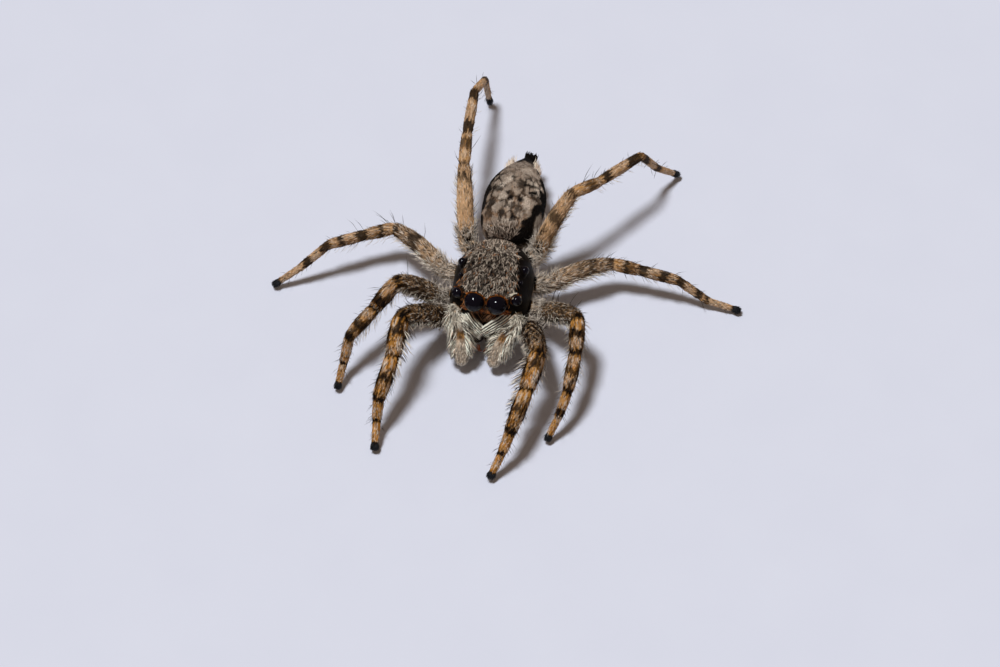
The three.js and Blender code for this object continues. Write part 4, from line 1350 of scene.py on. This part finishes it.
lensFinish = plainMaterial("lensFinish", (0.0012, 0.001, 0.002, 1), (0.004, 0.003, 0.008, 1), 3000.0, 0.05,
                           0.03, 0.0, Specular_IOR_Level=0.2)
for name, sideName, centre, facing, radius in eyePlaces():
    verts, faces = lensGrid(centre, facing, radius)
    addPiece("lens_" + name + "_" + sideName, verts, faces, lensFinish, "eye_lens",
             "eye_" + name + "_" + sideName)

# Jaws: a stout base segment and a curved red-brown fang on each side.
jawForm = {"top": (0.29, -1.32, 1.5), "low": (0.2, -1.92, 0.6), "radii": (0.25, 0.27, 0.25, 0.19),
           "fang": ((0.16, -2.0, 0.62), (0.1, -2.16, 0.56), (0.02, -2.1, 0.44)),
           "fangRadii": (0.07, 0.05, 0.02)}
jawFinish = plainMaterial("jawFinish", (0.006, 0.004, 0.003, 1), (0.025, 0.012, 0.008, 1), 9000.0, 0.4,
                          0.2, 0.5, Specular_IOR_Level=0.05)
fangFinish = plainMaterial("fangFinish", (0.07, 0.018, 0.008, 1), (0.14, 0.04, 0.015, 1), 9000.0, 0.2,
                           0.15, 0.3, Specular_IOR_Level=0.2)
for sideName, side in sides.items():
    f, mirror = jawForm, np.array([side, 1, 1])
    jaw = taperedLimb(f["top"] * mirror, f["low"] * mirror, f["radii"], 40)
    addPiece("jaw_" + sideName, *tubeGrid(jaw, 28), jawFinish, "dark_skin", "chelicera_" + sideName)
    fang = limbFrom([p * mirror for p in f["fang"]], 0.08, 24, (0, 1, 2), f["fangRadii"])
    addPiece("fang_" + sideName, *tubeGrid(fang, 14), fangFinish, "dark_skin")
print("lenses and jaws ready")

# Plain pale floor, one soft key light, pale surroundings and the camera.
stageSettings = {"floorSize": 0.5, "floor": ((0.66, 0.68, 0.775, 1), (0.69, 0.71, 0.80, 1)),
                 "keyStrength": 2.9,
                 "keyColour": (0.93, 0.96, 1.0), "keyAngle": 11.0, "keyTravel": (0.2256, 0.0832, -1.0),
                 "fill": (0.175, 0.135, 0.105, 1)}
half = stageSettings["floorSize"] / 2
floor = meshFrom("floor", np.array([[-half, -half, 0], [half, -half, 0], [half, half, 0], [-half, half, 0]]),
                 np.array([[0, 1, 2, 3]]))
floor.data.materials.append(plainMaterial("floorFinish", *stageSettings["floor"], 400.0, 0.55, 0.1, 0.05))

sun = bpy.data.lights.new("key", "SUN")
sun.energy = stageSettings["keyStrength"]
sun.angle = math.radians(stageSettings["keyAngle"])
sun.color = stageSettings["keyColour"]
lamp = bpy.data.objects.new("key", sun)
lamp.rotation_euler = Vector(stageSettings["keyTravel"]).to_track_quat("-Z", "Y").to_euler()
bpy.context.scene.collection.objects.link(lamp)
world = bpy.data.worlds.new("studio")
world.use_nodes = True
world.node_tree.nodes["Background"].inputs["Color"].default_value = stageSettings["fill"]
bpy.context.scene.world = world
bpy.context.scene.view_settings.view_transform = "Standard"

cameraSettings = {"azimuth": 10.0, "elevation": 54.0, "distance": 170.0, "pixelsPerMm": 33.5,
                  "originAt": (494.9, 303.8)}
s = cameraSettings
a, e = math.radians(s["azimuth"]), math.radians(s["elevation"])
backward = np.array([math.sin(a) * math.cos(e), -math.cos(a) * math.cos(e), math.sin(e)])
rightward = np.array([math.cos(a), math.sin(a), 0])
upward = np.cross(backward, rightward)
lens = bpy.data.cameras.new("camera")
lens.sensor_width = 36
lens.lens = s["pixelsPerMm"] * s["distance"] / 1000 * lens.sensor_width
lens.clip_start = 0.01
camera = bpy.data.objects.new("camera", lens)
pose = np.eye(4)
pose[:3, 0], pose[:3, 1], pose[:3, 2] = rightward, upward, backward
shiftX, shiftY = (500 - s["originAt"][0]) / s["pixelsPerMm"], (333.5 - s["originAt"][1]) / s["pixelsPerMm"]
pose[:3, 3] = toWorld(backward * s["distance"] + rightward * shiftX - upward * shiftY)
camera.matrix_world = Matrix(pose)
bpy.context.scene.collection.objects.link(camera)
bpy.context.scene.camera = camera
